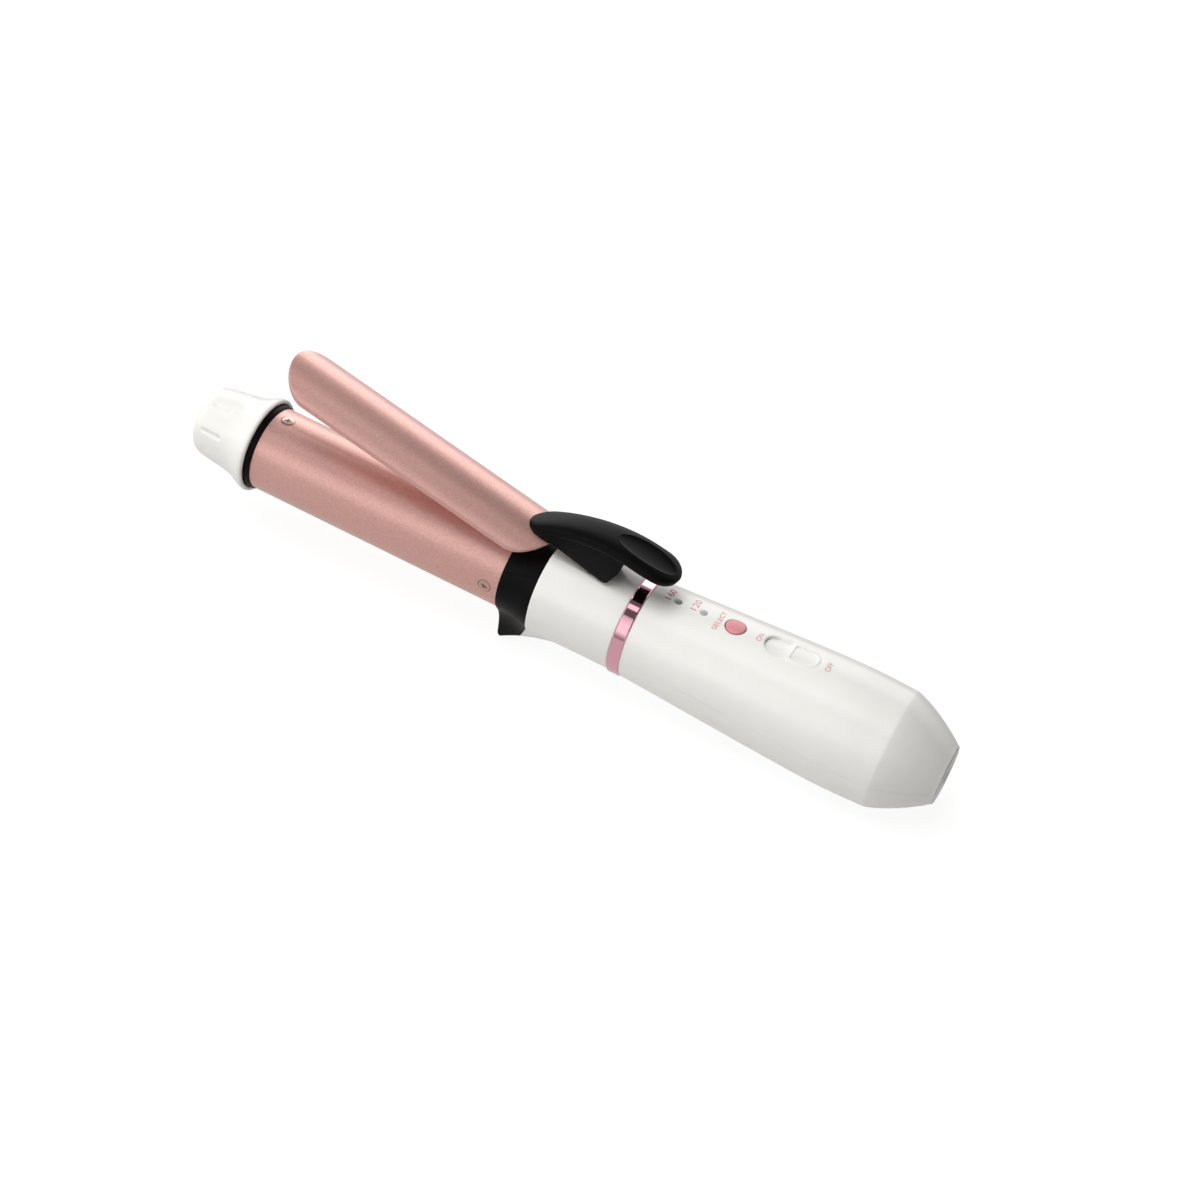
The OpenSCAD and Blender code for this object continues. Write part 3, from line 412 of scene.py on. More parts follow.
def posts(r, z0, z1):
    """Round posts at the places of the handle screws."""
    rows = [(None, z1), (0, z1), (0, z0), (None, z0)]
    return merged([moved(stacked(pill(2 * r, 2 * r), rows), (x, y, 0))
                   for x, y in handle_screw_places])


# the lower half has four wells for its screws, each with a boss inside
core = turned([(6, 0)] + [(x, handle_r(x) - 0.6) for x in range(6, 96, 3)] + [(95, 0)], steps=96)
bosses = carved(posts(boss_r, -30, -0.2), core, operation="INTERSECT")
lower = carved(half_shell(-1), bosses, operation="UNION")
lower = carved(lower, posts(well_r, -40, -6), posts(screw_hole_r, -8, 2))
finished("handle_lower_shell", lower, white_abs, "iron", ["handle_lower"])

# ---------------------------------------- slide switch knob
# The switch's moulded slide: a strip that closes the window from inside, and a D-shaped knob with
# its straight side towards the tip. It is pushed from OFF to ON.
knob_rear, knob_len, knob_w = 45.3, 7.0, 5.9
strip_rear, strip_front, strip_half = 38.5, 61, 4.6


def knob_outline():
    """D outline: round behind, straight in front with small corners."""
    r, corner = knob_w / 2, 0.4
    front = knob_rear + knob_len - corner
    behind = [Vector((knob_rear + r - r * math.sin(t), r * math.cos(t)))
              for t in (math.pi * i / 24 for i in range(25))]
    low = [Vector((front + corner * math.sin(t), -r + corner - corner * math.cos(t)))
           for t in (math.pi * i / 12 for i in range(7))]
    high = [Vector((p.x, -p.y)) for p in reversed(low)]
    return behind + low + high


def sliced(bm, places):
    """Cuts a flat shape's faces along x at places in y, so that it can be bent."""
    for y in places:
        bmesh.ops.bisect_plane(bm, geom=bm.verts[:] + bm.edges[:] + bm.faces[:],
                               plane_co=(0, y, 0), plane_no=(0, 1, 0))
    return bm


knob = stacked(knob_outline()[::-1],
               [(None, -1.5), (0, -1.5), (0, -0.35), (0.04, -0.15), (0.15, 0.02), (0.35, 0.1),
                (0.6, 0.07), (1.1, -0.02), (1.8, -0.1), (None, -0.14)])
strip = stacked([Vector(p) for p in ((strip_rear, -strip_half), (strip_front, -strip_half),
                                     (strip_front, strip_half), (strip_rear, strip_half))],
                [(None, -1.8), (0, -1.8), (0, -1.0), (None, -1.0)])
strip = wrapped(sliced(strip, (-3.4, -2.3, -1.1, 0.0, 1.1, 2.3, 3.4)))
finished("slide_knob_cover", merged([wrapped(knob), strip]), white_abs, "power", ["slide_knob"])

# ---------------------------------------- temperature button
# Moulded ABS button in soft pink: a low dome that stands 0.3 mm out of its hole, with a stem that
# presses the switch inside.


def glossed(name, slot, colour, spacing, gloss, detail=2.0, **settings):
    """A finish of one colour whose roughness wavers between the two values of gloss, with spacing
    in mm between its patches."""
    made, tree = empty_material(name, slot)
    where = add(tree, "ShaderNodeTexCoord").outputs["Object"]
    scuffs = add(tree, "ShaderNodeTexNoise", [("Vector", where)], Scale=1 / (spacing * mm),
                 Detail=detail)
    rough = add(tree, "ShaderNodeMapRange", [("Value", scuffs.outputs["Fac"])],
                To_Min=gloss[0], To_Max=gloss[1])
    skin = add(tree, "ShaderNodeBsdfPrincipled", [("Roughness", rough.outputs[0])],
               Base_Color=linear(colour), **settings)
    add(tree, "ShaderNodeOutputMaterial", [("Surface", skin.outputs[0])])
    return made


# ABS through-coloured dusty pink, moulded in a polished tool: an even satin shine
pink_abs = glossed("abs_dusty_pink_moulded", "pink_button", "#dc8f98", 1.667, (0.3, 0.38),
                   IOR=1.5)
dome = stacked(pill(2 * button_r - 0.1, 2 * button_r - 0.1),
               [(None, -4), (0, -4), (0, -0.2), (0.03, -0.06), (0.12, 0.05), (0.3, 0.14),
                (0.7, 0.2), (1.3, 0.25), (2.1, 0.28), (None, 0.29)])
finished("temperature_button", wrapped(moved(dome, (button_x, 0, 0))), pink_abs, "select",
         ["select_button"])

# ---------------------------------------- indicator lenses
# Light pipes of clear resin, pressed into the upper shell over the board's lights, whose ends are
# # frosted; the one by 160 is painted darker than the one by 120, as painted shade.


def grained(name, slot, colour, spacing, strength, depth, **settings):
    """A finish of one colour with a fine grain; spacing and depth are in mm."""
    made, tree = empty_material(name, slot)
    where = add(tree, "ShaderNodeTexCoord").outputs["Object"]
    grain = add(tree, "ShaderNodeTexNoise", [("Vector", where)], Scale=1 / (spacing * mm),
                Detail=2.0)
    dents = add(tree, "ShaderNodeBump", [("Height", grain.outputs["Fac"])], Strength=strength,
                Distance=depth * mm)
    skin = add(tree, "ShaderNodeBsdfPrincipled", [("Normal", dents.outputs[0])],
               Base_Color=linear(colour), **settings)
    add(tree, "ShaderNodeOutputMaterial", [("Surface", skin.outputs[0])])
    return made


for x, name, colour, stands_for in (
        (light_xs[0], "resin_frosted_light_grey", "#c3c9c4", ["light_pipes"]),
        # the darker grey of the lens by 160 is painted shade
        (light_xs[1], "resin_frosted_grey_painted_shade", "#8f9c95", [])):
    # clear resin, frosted in the mould at its end: a milky grey while the light is off. The
    # frosting is drawn coarser than it is, so that it shows
    resin = grained(name, "clear_resin", colour, 0.286, 0.2, 0.04, Roughness=0.32, IOR=1.49,
                    Transmission_Weight=0.25)
    lens = stacked(pill(2 * light_r, 2 * light_r),
                   [(None, -3), (0, -3), (0, -0.1), (0.08, 0.02), (0.3, 0.1), (0.7, 0.15),
                    (None, 0.16)])
    finished("indicator_lens_%d" % round(x), wrapped(moved(lens, (x, 0, 0))), resin, "iron",
             stands_for)

# ---------------------------------------- printed legends
# Pad-printed words in pink ink, 0.02 mm thick; on 160 the ink is painted deeper, as painted shade.
# # They read round the handle, their tops towards the tip.
ink_half, letter_cuts = 0.01, 16
# pad-printing ink: matt dusty pink, a little uneven at the edge of each stroke
pale_ink = clouded("ink_dusty_pink_pad_printed", "", "#cf6f7c", "#dd98a0", 0.4, Roughness=0.55)
# the same ink, painted deeper and redder: painted shade on 160
shaded_ink = clouded("ink_dusty_pink_painted_shade", "", "#a8414f", "#c2606c", 0.4, Roughness=0.55)
for word, x, y, length, height, ink in (("160", light_xs[1] + 3.2, -2.0, 5.2, 2.0, shaded_ink),
                                        ("120", light_xs[0] + 3.2, -2.0, 5.2, 2.0, pale_ink),
                                        ("SELECT", button_x + 5.1, 0.0, 8.4, 1.5, pale_ink),
                                        ("ON", 62.8, 0.0, 3.2, 1.6, pale_ink),
                                        ("OFF", 41.4, 0.0, 3.8, 1.6, pale_ink)):
    curve = bpy.data.curves.new(word, "FONT")
    curve.body, curve.extrude = word, ink_half
    writing = bpy.data.objects.new(word, curve)
    scene.collection.objects.link(writing)
    mesh = bpy.data.meshes.new_from_object(
        writing.evaluated_get(bpy.context.evaluated_depsgraph_get()))
    letters = bmesh.new()
    letters.from_mesh(mesh)
    bpy.data.objects.remove(writing)
    bpy.data.curves.remove(curve)
    bpy.data.meshes.remove(mesh)
    bmesh.ops.remove_doubles(letters, verts=letters.verts, dist=1e-5)
    low = Vector([min(v.co[k] for v in letters.verts) for k in range(3)])
    high = Vector([max(v.co[k] for v in letters.verts) for k in range(3)])
    for v in letters.verts:
        reading = (v.co.x - (low.x + high.x) / 2) * length / (high.x - low.x)
        rising = (v.co.y - (low.y + high.y) / 2) * height / (high.y - low.y)
        v.co = Vector((x + rising, y - reading, ink_half + v.co.z))
    sliced(letters, [y - length / 2 + length * i / letter_cuts for i in range(1, letter_cuts)])
    finished("legend_%s" % word, wrapped(letters), ink, "iron")

# ---------------------------------------- cord bush
# The bush that the cord would come out of, turning in the handle's end: a flat ring with a small
# lip and a rounded mouth.
bush_outline = ((0.15, 3.6), (0.0, 4.0), (0.0, 7.5), (0.12, 7.85), (0.4, 8.0), (1.6, 8.0),
                (1.6, 6.5), (4.4, 6.5), (4.4, 7.9), (6.5, 7.9), (6.5, 3.1), (0.5, 3.1),
                (0.28, 3.25))
finished("cord_bush_ring", turned(bush_outline, steps=96), white_abs, "bush", ["cord_bush"])

# ---------------------------------------- trim ring
# Chromed ring that is held between handle and front housing, lacquered pink: a flat mirror band
# with bevelled edges.
front_x = 100.6
ring_r, ring_bore = 15.5, 13.2
bevels = ((0.05, ring_r - 0.4), (0.12, ring_r - 0.2), (0.35, ring_r))
band = ([(ring_x + 0.05, ring_bore)] + [(ring_x + d, r) for d, r in bevels]
        + [(front_x - d, r) for d, r in reversed(bevels)] + [(front_x - 0.05, ring_bore)])
# ABS, chromed and covered with a clear pink lacquer: a hard mirror in pink
pink_mirror = glossed("abs_chromed_pink_lacquer", "pink_mirror", "#eeb6c4", 1.11, (0.03, 0.07),
                      Metallic=1.0)
finished("trim_ring_band", turned(band, steps=160), pink_mirror, "iron", ["trim_ring"], sharp=25)

# ---------------------------------------- front housing
# White ABS housing between ring and collar. Its underside swells towards the stand foot, a flat
# lies under the lever, and the seam to the collar curves forward below the axis.
collar_x, barrel_x = 127.3, 138.3
front_r, lip_r, lip_swell = 15.0, 13.4, 1.4
foot_drop, foot_half = 24.0, 6.0
keel_x, keel_len, keel_swell = 109.3, 29.0, 1.9
flank_turn, flank_bulge = 51.0, 5
sole_round, foot_round = 1.6, 0.9
seam_r = 51.0
saddle_z, saddle_half = 13.2, 6.4
slot_from, slot_half = 110.0, 4.3
pivot = Vector((110.3, 0, 18.0))


def body_r(x):
    """Radius of the round part of housing and collar."""
    u = max(0.0, min(1.0, (x - collar_x) / (barrel_x - collar_x)))
    return front_r + (lip_r - front_r) * math.sin(math.pi / 2 * u) ** lip_swell


def keel_at(x):
    """Depth of the underside below the axis, rounded up at the foot's front edge."""
    lip = max(0.0, min(1.0, (x - barrel_x) / foot_round + 1))
    run = max(0.0, min(1.0, (x - keel_x) / (keel_len - foot_round)))
    return (front_r + (foot_drop - front_r) * run ** keel_swell
            - foot_round * (1 - math.sqrt(1 - lip * lip)))


def body_point(x, turn, inset=0.0):
    """A point of the common skin of housing, collar and foot; turn is in degrees from straight
    down. Up to sole_part of the flank's turn it lies on the sole, up to corner_part on its
    corner."""
    sole_part, corner_part = 0.2, 0.5
    a, r = abs(turn), body_r(x)
    point = Vector((math.sin(math.radians(a)), -math.cos(math.radians(a)))) * r
    if a < flank_turn:
        k, t = (keel_at(x) - r) / (foot_drop - r), a / flank_turn
        leave = math.radians(flank_turn)
        if t < sole_part:
            deep = Vector(((foot_half - sole_round) * t / sole_part, -foot_drop))
        elif t < corner_part:
            corner = math.pi / 2 * (t - sole_part) / 0.3
            deep = Vector((foot_half - sole_round * (1 - math.sin(corner)),
                           sole_round * (1 - math.cos(corner)) - foot_drop))
        else:
            t = 2 * t - 1
            p = [Vector(c) for c in ((foot_half, sole_round - foot_drop),
                                     (foot_half + 0.4, -r - 3),
                                     (r * math.sin(leave) - flank_bulge * math.cos(leave),
                                      -r * math.cos(leave) - flank_bulge * math.sin(leave)),
                                     (r * math.sin(leave), -r * math.cos(leave)))]
            deep = (p[0] * (1 - t) ** 3 + 3 * p[1] * t * (1 - t) ** 2
                    + 3 * p[2] * t * t * (1 - t) + p[3] * t ** 3)
        point = point * (1 - k) + deep * k
    point *= 1 - inset / point.length
    return Vector((x, math.copysign(point.x, turn), point.y))


def seam_x(turn):
    """Where the seam to the collar crosses the line at an angle from straight down."""
    x = collar_x
    for _ in range(12):
        low = min(0.0, body_point(x, turn).z)
        x = collar_x + seam_r - math.sqrt(seam_r ** 2 - low ** 2)
    return x


def box(x0, x1, y0, y1, z0, z1):
    """A block between two corners."""
    bm = bmesh.new()
    bmesh.ops.create_cube(bm, size=1)
    bmesh.ops.scale(bm, vec=(x1 - x0, y1 - y0, z1 - z0), verts=bm.verts)
    return moved(bm, ((x0 + x1) / 2, (y0 + y1) / 2, (z0 + z1) / 2))


def extruded(outline, by, bevel=0.0):
    """A flat outline pushed through by a vector, with rounded rims on both faces."""
    bm = bmesh.new()
    face = bm.faces.new([bm.verts.new(p) for p in outline])
    grown = bmesh.ops.extrude_face_region(bm, geom=[face])
    bmesh.ops.translate(bm, vec=by,
                        verts=[v for v in grown["geom"] if isinstance(v, bmesh.types.BMVert)])
    bmesh.ops.recalc_face_normals(bm, faces=bm.faces)
    if bevel:
        rims = [e for e in bm.edges if abs((e.verts[0].co - e.verts[1].co).dot(by)) < 1e-6]
        bmesh.ops.bevel(bm, geom=rims, offset=bevel, segments=4, profile=0.5, affect="EDGES",
                        material=-1)
    return bm


around, housing_rows = 200, 41
edge_r, edge_rows = 0.28, 3
shell_t, flat_inside = 1.6, 12.2


def quarter(step, steps=edge_rows):
    """The angle of a step of a rounded edge."""
    return math.pi / 2 * step / steps


def housing_place(i, j):
    """Rows: the rounded rear edge, the skin, the rounded seam edge, back along the inner wall and
    the first row again."""
    turn = 360.0 * (i % around) / around - 180.0
    j, skin_end = j % housing_rows, housing_rows - 6
    last = seam_x(turn) - 0.04
    if j < edge_rows:
        t = quarter(j)
        x, inset = front_x + edge_r * (1 - math.cos(t)), edge_r * (1 - math.sin(t))
    elif j <= skin_end:
        x = (front_x + edge_r
             + (last - front_x - 2 * edge_r) * (j - edge_rows) / (skin_end - edge_rows))
        inset = 0.0
    elif j <= skin_end + edge_rows:
        t = quarter(j - skin_end)
        x, inset = last - edge_r * (1 - math.sin(t)), edge_r * (1 - math.cos(t))
    else:
        x, inset = last if j == skin_end + edge_rows + 1 else front_x, shell_t
    point = body_point(x, turn, inset)
    if inset == shell_t and point.z > 11:
        point.z = min(point.z, flat_inside)
    return point


# the slot for the lever's cheeks and a shallow flat ahead of it
housing = carved(woven(housing_place, around, housing_rows),
                 box(slot_from, pivot.x + 5.4, -slot_half, slot_half, saddle_z, 30),
                 box(pivot.x + 5.3, collar_x + 5, -6, 6, saddle_z + 1.1, 30))
# two ears in the slot hold the lever's pin, and a block stops its spring
ear_r, ear_y, pin_r = 2.6, 3.05, 1.53
ear_side = ([(pivot.x - 0.4, 12.1), (pivot.x + 5, 12.1), (pivot.x + 5, 13.5),
             (pivot.x + 2.7, 14.8)]
            + [(pivot.x + ear_r * math.cos(t), pivot.z + ear_r * math.sin(t))
               for t in (math.radians(200) * k / 28 for k in range(29))])
ears = [extruded([(x, y - 0.65, z) for x, z in ear_side], Vector((0, 1.3, 0)), bevel=0.12)
        for y in (-ear_y, ear_y)]
ears.append(box(pivot.x + 2.48, pivot.x + 4.38, -2.2, -0.5, 12.1, 15.2))
housing = carved(housing, merged(ears), operation="UNION")
bore = rotated(turned([(-5, 0), (-5, pin_r), (5, pin_r), (5, 0)], steps=48), math.pi / 2, "Z")
housing = carved(housing, moved(bore, pivot))
finished("front_housing_shell", housing, white_abs, "iron", ["front_housing"], sharp=40)

# ---------------------------------------- collar and stand foot
# Black nylon collar that takes up the barrel. It runs down into the stand foot, and is flat and
# recessed on top, where the closed clamp's tail lies.

# Glass-filled nylon, moulded with a fine spark-eroded grain, drawn at 0.2 mm so that it shows:
# deep black with a soft grey sheen where the light grazes it
black_nylon = grained("nylon_black_fine_grain", "black_resin", "#030304", 0.2, 0.12, 0.03,
                      Roughness=0.45, IOR=1.5, Specular_IOR_Level=0.12)
collar_rear = collar_x - 2
collar_rows, collar_skin_end = 37, 26


def collar_place(i, j):
    """Rows from the rear face's middle over the skin and the rounded front edge to the front
    face's middle."""
    turn = 360.0 * (i % around) / around - 180.0
    if j in (0, collar_rows):
        return Vector((collar_rear if j == 0 else barrel_x, 0, -4))
    if j <= collar_skin_end:
        run = (j - 1) / (collar_skin_end - 1)
        return body_point(collar_rear + (barrel_x - foot_round - collar_rear) * run, turn)
    rounding = quarter(j - collar_skin_end, collar_rows - 1 - collar_skin_end)
    return body_point(barrel_x - foot_round * math.cos(rounding), turn)


seam_side = [(collar_x + seam_r + seam_r * math.cos(t), seam_r * math.sin(t))
             for t in (math.radians(180 + 2 * i) for i in range(17))]
behind_seam = extruded([(x, -40, z) for x, z in [(collar_x, 40)] + seam_side
                        + [(collar_x - 20, -40), (collar_x - 20, 40)]], Vector((0, 80, 0)))
recess_r, socket_r, spigot_r = 13.2, 13.02, 12.0
recess = carved(turned([(collar_x - 3, recess_r), (barrel_x + 3, recess_r), (barrel_x + 3, 20),
                        (collar_x - 3, 20)]),
                box(collar_x + 0.1, 240, -11.3, 11.3, 0, 40), operation="INTERSECT")
inside = turned([(collar_x - 3, spigot_r), (barrel_x - 0.6, spigot_r), (barrel_x - 0.6, socket_r),
                 (barrel_x + 3, socket_r), (barrel_x + 3, 0), (collar_x - 3, 0)])
collar = carved(woven(collar_place, around, collar_rows), behind_seam,
                box(collar_x - 5, barrel_x + 5, -saddle_half, saddle_half, saddle_z, 40),
                recess, inside)
# every hard edge is rounded, as a moulding's are
hard_from, collar_edge_r = 25, 0.22
hard = [e for e in collar.edges if len(e.link_faces) == 2
        and e.calc_face_angle() > math.radians(hard_from)]
bmesh.ops.bevel(collar, geom=hard, offset=collar_edge_r, segments=3, profile=0.5,
                affect="EDGES", material=-1, clamp_overlap=True)
finished("collar_with_foot", collar, black_nylon, "iron", ["collar"])

# ---------------------------------------- barrel and its screws
# Drawn aluminium tube with the heater in it, coated in rose gold like the clamp. Three
# countersunk cross-headed screws hold it: one on top near the tip, one on each side near the
# collar.

# Aluminium with a rose-gold ceramic-metal coating, sprayed and baked: satin, with a glitter of
# flakes over a trace of orange peel, both drawn at 0.3 to 0.4 mm so that they show
flake_size, peel_size, peel_depth = 0.3125, 0.3846, 0.05
rose_coat, tree = empty_material("aluminium_rose_gold_sprayed", "rose_coat")
where = add(tree, "ShaderNodeTexCoord").outputs["Object"]
flakes = add(tree, "ShaderNodeTexVoronoi", [("Vector", where)], Scale=1 / (flake_size * mm))
shade = add(tree, "ShaderNodeMix", [("Factor", flakes.outputs["Color"])], data_type="RGBA")
shade.inputs[6].default_value = linear("#d3a097")
shade.inputs[7].default_value = linear("#e6b7ae")
orange = add(tree, "ShaderNodeTexNoise", [("Vector", where)], Scale=1 / (peel_size * mm),
             Detail=2.0)
peel = add(tree, "ShaderNodeBump", [("Height", orange.outputs["Fac"])], Strength=0.15,
           Distance=peel_depth * mm)
skin = add(tree, "ShaderNodeBsdfPrincipled",
           [("Base Color", shade.outputs[2]), ("Normal", peel.outputs[0])],
           Metallic=0.7, Roughness=0.42, Coat_Weight=0.4, Coat_Roughness=0.25)
add(tree, "ShaderNodeOutputMaterial", [("Surface", skin.outputs[0])])
# nickel-plated steel, barrelled: a soft mirror with fine scuffs
steel = glossed("steel_nickel_plated", "bright_steel", "#d0b0a6", 0.5556, (0.2, 0.34),
                detail=3.0, Metallic=1.0)
barrel_r, tube_wall, barrel_end = 13.0, 1.2, 223.3
tube_outline = ((barrel_x, barrel_r - 0.12), (barrel_x + 0.12, barrel_r),
                (barrel_end - 0.25, barrel_r), (barrel_end - 0.07, barrel_r - 0.07),
                (barrel_end, barrel_r - 0.25), (barrel_end, barrel_r - tube_wall),
                (barrel_x, barrel_r - tube_wall))
screw_inset, head_r = 4.2, 2.0
screw_spots = ((barrel_end - screw_inset, 0), (barrel_x + screw_inset, 90),
               (barrel_x + screw_inset, -90))


def on_barrel(bm, x, turn):
    """Moves a shape drawn round the origin to a place on the barrel; turn is from the top towards
    -Y, in degrees."""
    return rotated(moved(bm, (x, 0, barrel_r)), math.radians(turn), "X")


def sink(x, turn):
    """The tool for a screw's countersunk hole."""
    rows = [(None, 1), (-0.1, 1), (-0.1, 0.05), (0.0, -0.12), (0.0, -1.8), (None, -1.8)]
    return on_barrel(stacked(pill(2 * head_r + 0.16, 2 * head_r + 0.16), rows), x, turn)


def cross_screw(x, turn, cross_turn):
    """A cross-headed screw, head flush with the barrel: a low dome with its cross pressed in."""
    side_view = ((-2.4, 0.0), (-2.4, 1.05), (-0.9, 1.05), (-0.45, 1.94), (-0.15, head_r),
                 (-0.04, 1.95), (0.03, 1.75), (0.07, 1.3), (0.1, 0.7), (0.11, 0.0))
    slot_long, slot_wide, slot_deep = 1.15, 0.26, 0.55
    head = rotated(turned(side_view, steps=48), -math.pi / 2, "Y")
    for arm_turn in (0, 90):
        slot = box(-slot_long, slot_long, -slot_wide, slot_wide, -slot_deep, 0.6)
        for v in slot.verts:
            if v.co.z < 0:
                v.co.x, v.co.y = v.co.x * 0.6, v.co.y * 0.7
        head = carved(head, rotated(slot, math.radians(arm_turn + cross_turn), "Z"))
    return on_barrel(head, x, turn)


tube = carved(turned(tube_outline, steps=192), *[sink(x, turn) for x, turn in screw_spots])
finished("barrel_coated", tube, rose_coat, "iron", ["barrel_tube"])
for i, (x, turn) in enumerate(screw_spots):
    finished("barrel_screw_%d" % (i + 1), cross_screw(x, turn, 20 + 25 * i), steel, "iron",
             ["barrel_screws"] if i == 0 else [], sharp=30)

# ---------------------------------------- cool tip
# Heat-resistant black plug in the barrel's end and a white cap on it, with a flared rim to keep
# fingers off the barrel and eight shallow grip flutes.
spacer_end, cap_end = 225.6, 246.9
cap_rim = spacer_end - 0.55
plug_r, plug_end = 8.0, cap_rim + 1.6
plug_outline = ((barrel_end, plug_r), (barrel_end, 13.05), (barrel_end + 0.12, 13.3),
                (barrel_end + 0.35, 13.45), (plug_end, 13.5), (plug_end, plug_r))
finished("tip_plug_ring", turned(plug_outline), black_nylon, "iron", ["tip_plug"])

rim_outline = [Vector((cap_rim + d, r)) for d, r in
               ((1.4, 0.0), (1.4, 13.75), (0.1, 13.8), (0.0, 13.95), (0.0, 14.3), (0.12, 14.62),
                (0.4, 14.88), (0.8, 15.0), (1.2, 14.98))]
cap_outline = (rim_outline
               + bezier((cap_rim + 2, 14.8), (cap_rim + 5, 13.4), (cap_rim + 6.5, 12.5),
                        (cap_rim + 10, 12.1), 20)
               + bezier((cap_end - 11, 11.95), (cap_end - 9, 11.75), (cap_end - 8, 11.6),
                        (cap_end - 7, 11.45), 6)
               + bezier((cap_end - 6.8, 11.4), (cap_end - 2.9, 11.0), (cap_end - 1.3, 10.4),
                        (cap_end - 0.75, 8.2), 24)
               + bezier((cap_end - 0.75, 8.2), (cap_end - 0.3, 6.0), (cap_end, 3.0),
                        (cap_end, 0.0), 12)[1:])
flutes, flute_from, flute_to = 8, cap_end - 11.9, cap_end - 3.9
flute_depth, flute_flat, flute_side = 0.5, 0.25, 0.75
flute_rise, flute_fall = 1.1, 1.6


def smooth(t):
    """0 to 1 with level ends."""
    t = max(0.0, min(1.0, t))
    return t * t * (3 - 2 * t)


def dense(outline, step):
    """An outline with extra points wherever two of them are further apart than a step."""
    out = [outline[0]]
    for p in outline[1:]:
        start = out[-1]
        parts = max(1, math.ceil((p - start).length / step))
        out += [start + (p - start) * (k / parts) for k in range(1, parts + 1)]
    return out


cap = turned(dense(cap_outline, 0.5), steps=320)
pitch = 2 * math.pi / flutes
for v in cap.verts:
    r = math.hypot(v.co.y, v.co.z)
    if flute_from < v.co.x < flute_to:
        turn = math.atan2(v.co.z, v.co.y) % pitch - pitch / 2
        ends = (smooth((v.co.x - flute_from) / flute_rise)
                * smooth((flute_to - v.co.x) / flute_fall))
        dip = flute_depth * ends * (1 - smooth((abs(turn) * r - flute_flat) / flute_side))
        v.co.y, v.co.z = v.co.y * (1 - dip / r), v.co.z * (1 - dip / r)
finished("cool_tip_cap", cap, white_abs, "iron", ["tip_cap"], sharp=50)

# ---------------------------------------- clamp plate
# Rolled aluminium, coated like the barrel: a rounded tongue bent to the barrel's curve, its edges
# rounded. It is drawn closed and turned open about the hinge pin with all that rides on the clamp.
open_angle = 12.5
clamp_in, clamp_t, clamp_half = 13.5, 1.2, 10.8
clamp_tail, clamp_tip = 127.9, 220.6
strips = 40


def swung(bm):
    """Opens a closed clamp piece to the angle at which the iron is shown."""
    return rotated(bm, math.radians(-open_angle), "Y", cent=pivot)


clamp_middle = Vector(((clamp_tail + clamp_tip) / 2, 0))
tongue = [p + clamp_middle for p in pill(clamp_tip - clamp_tail, 2 * clamp_half, 72)]
plate = extruded([(p.x, p.y, 0) for p in tongue], Vector((0, 0, clamp_t)), bevel=0.38)
sliced(plate, [clamp_half * (2 * k / strips - 1) for k in range(1, strips)])
for v in plate.verts:
    v.co.z = math.sqrt((clamp_in + v.co.z) ** 2 - v.co.y ** 2)
finished("clamp_plate_coated", swung(plate), rose_coat, "clamp_arm", ["clamp_plate"], sharp=50)

# ---------------------------------------- thumb lever
# Black nylon lever, riveted to the clamp's tail: an arm on a circular arc, wide and round at the
# thumb, narrow at the nose, with an oval dish for the thumb and two cheeks that carry the hinge
# pin.
lever_arc_r, lever_t, lever_half, nose_half, tail_t = 50.5, 4.3, 6.5, 5.0, 2.8
nose_power = 2.4
arc_x, arc_z = pivot.x - 9.0, pivot.z + 11.7 - lever_arc_r
arm_r = lever_arc_r - lever_t / 2
arm_front, arm_rear = pivot.x + 25.8 - arc_x, pivot.x - 18.6 - arc_x
arm_steps, arm_around = 110, 72
rear_end_r, front_end_r, crown_drop = 2.0, 1.1, 0.45


def arm_half(d):
    """Half width of the arm at a distance ahead of the arc's highest point."""
    body = lever_half + (nose_half - lever_half) * smooth((d + 2) / (arm_front - nose_half + 2))
    ahead, behind = arm_front - d, d - arm_rear
    if ahead < nose_half:
        short = max(0.0, 1 - (1 - ahead / nose_half) ** nose_power)
        body = min(body, nose_half * short ** (1 / nose_power))
    if behind < lever_half:
        body = min(body, math.sqrt(max(0.0, lever_half ** 2 - (lever_half - behind) ** 2)))
    return body


def arm_place(i, j):
    """Cross-sections of the arm: level below, crowned above, with rounded edges and ends."""
    u = (1 - math.cos(math.pi * j / arm_steps)) / 2
    d = arm_rear + (arm_front - arm_rear) * u
    half, t = arm_half(d), 2 * math.pi * (i % arm_around) / arm_around
    rear_round = min(1.0, (d - arm_rear) / rear_end_r)
    front_round = min(1.0, (arm_front - d) / front_end_r)
    middle = tail_t + (lever_t - tail_t) * min(1.0, (d - arm_rear) / -arm_rear)
    thick = middle * (0.4 + 0.6 * math.sqrt(max(0.0, 1 - (1 - rear_round) ** 2)))
    thick *= 0.8 + 0.2 * math.sqrt(max(0.0, 1 - (1 - front_round) ** 2))
    across = math.copysign(abs(math.cos(t)) ** 0.5, math.cos(t))
    rise = math.copysign(abs(math.sin(t)) ** 0.55, math.sin(t))
    if j in (0, arm_steps):
        across = 0.0
    crown = -crown_drop * across ** 2 * thick / lever_t if rise > 0 else 0.0
    angle, reach = math.asin(d / arm_r), lever_arc_r - middle / 2 + thick / 2 * rise + crown
    return Vector((arc_x + reach * math.sin(angle), half * across,
                   arc_z + reach * math.cos(angle)))


cheek_rear, cheek_front, cheek_z = pivot.x - 3.5, collar_x - 1.6, saddle_z + 1.5
cheek_half, cheek_wall, cheek_top = 6.0, 2.0, pivot.z + 3
cheek_round, cheek_lean = 2.2, 1.2
lid_r, skirt_step, skirt_steps, skirt_around = arm_r - 0.3, 0.35, 90, 12
bend_part = 0.3


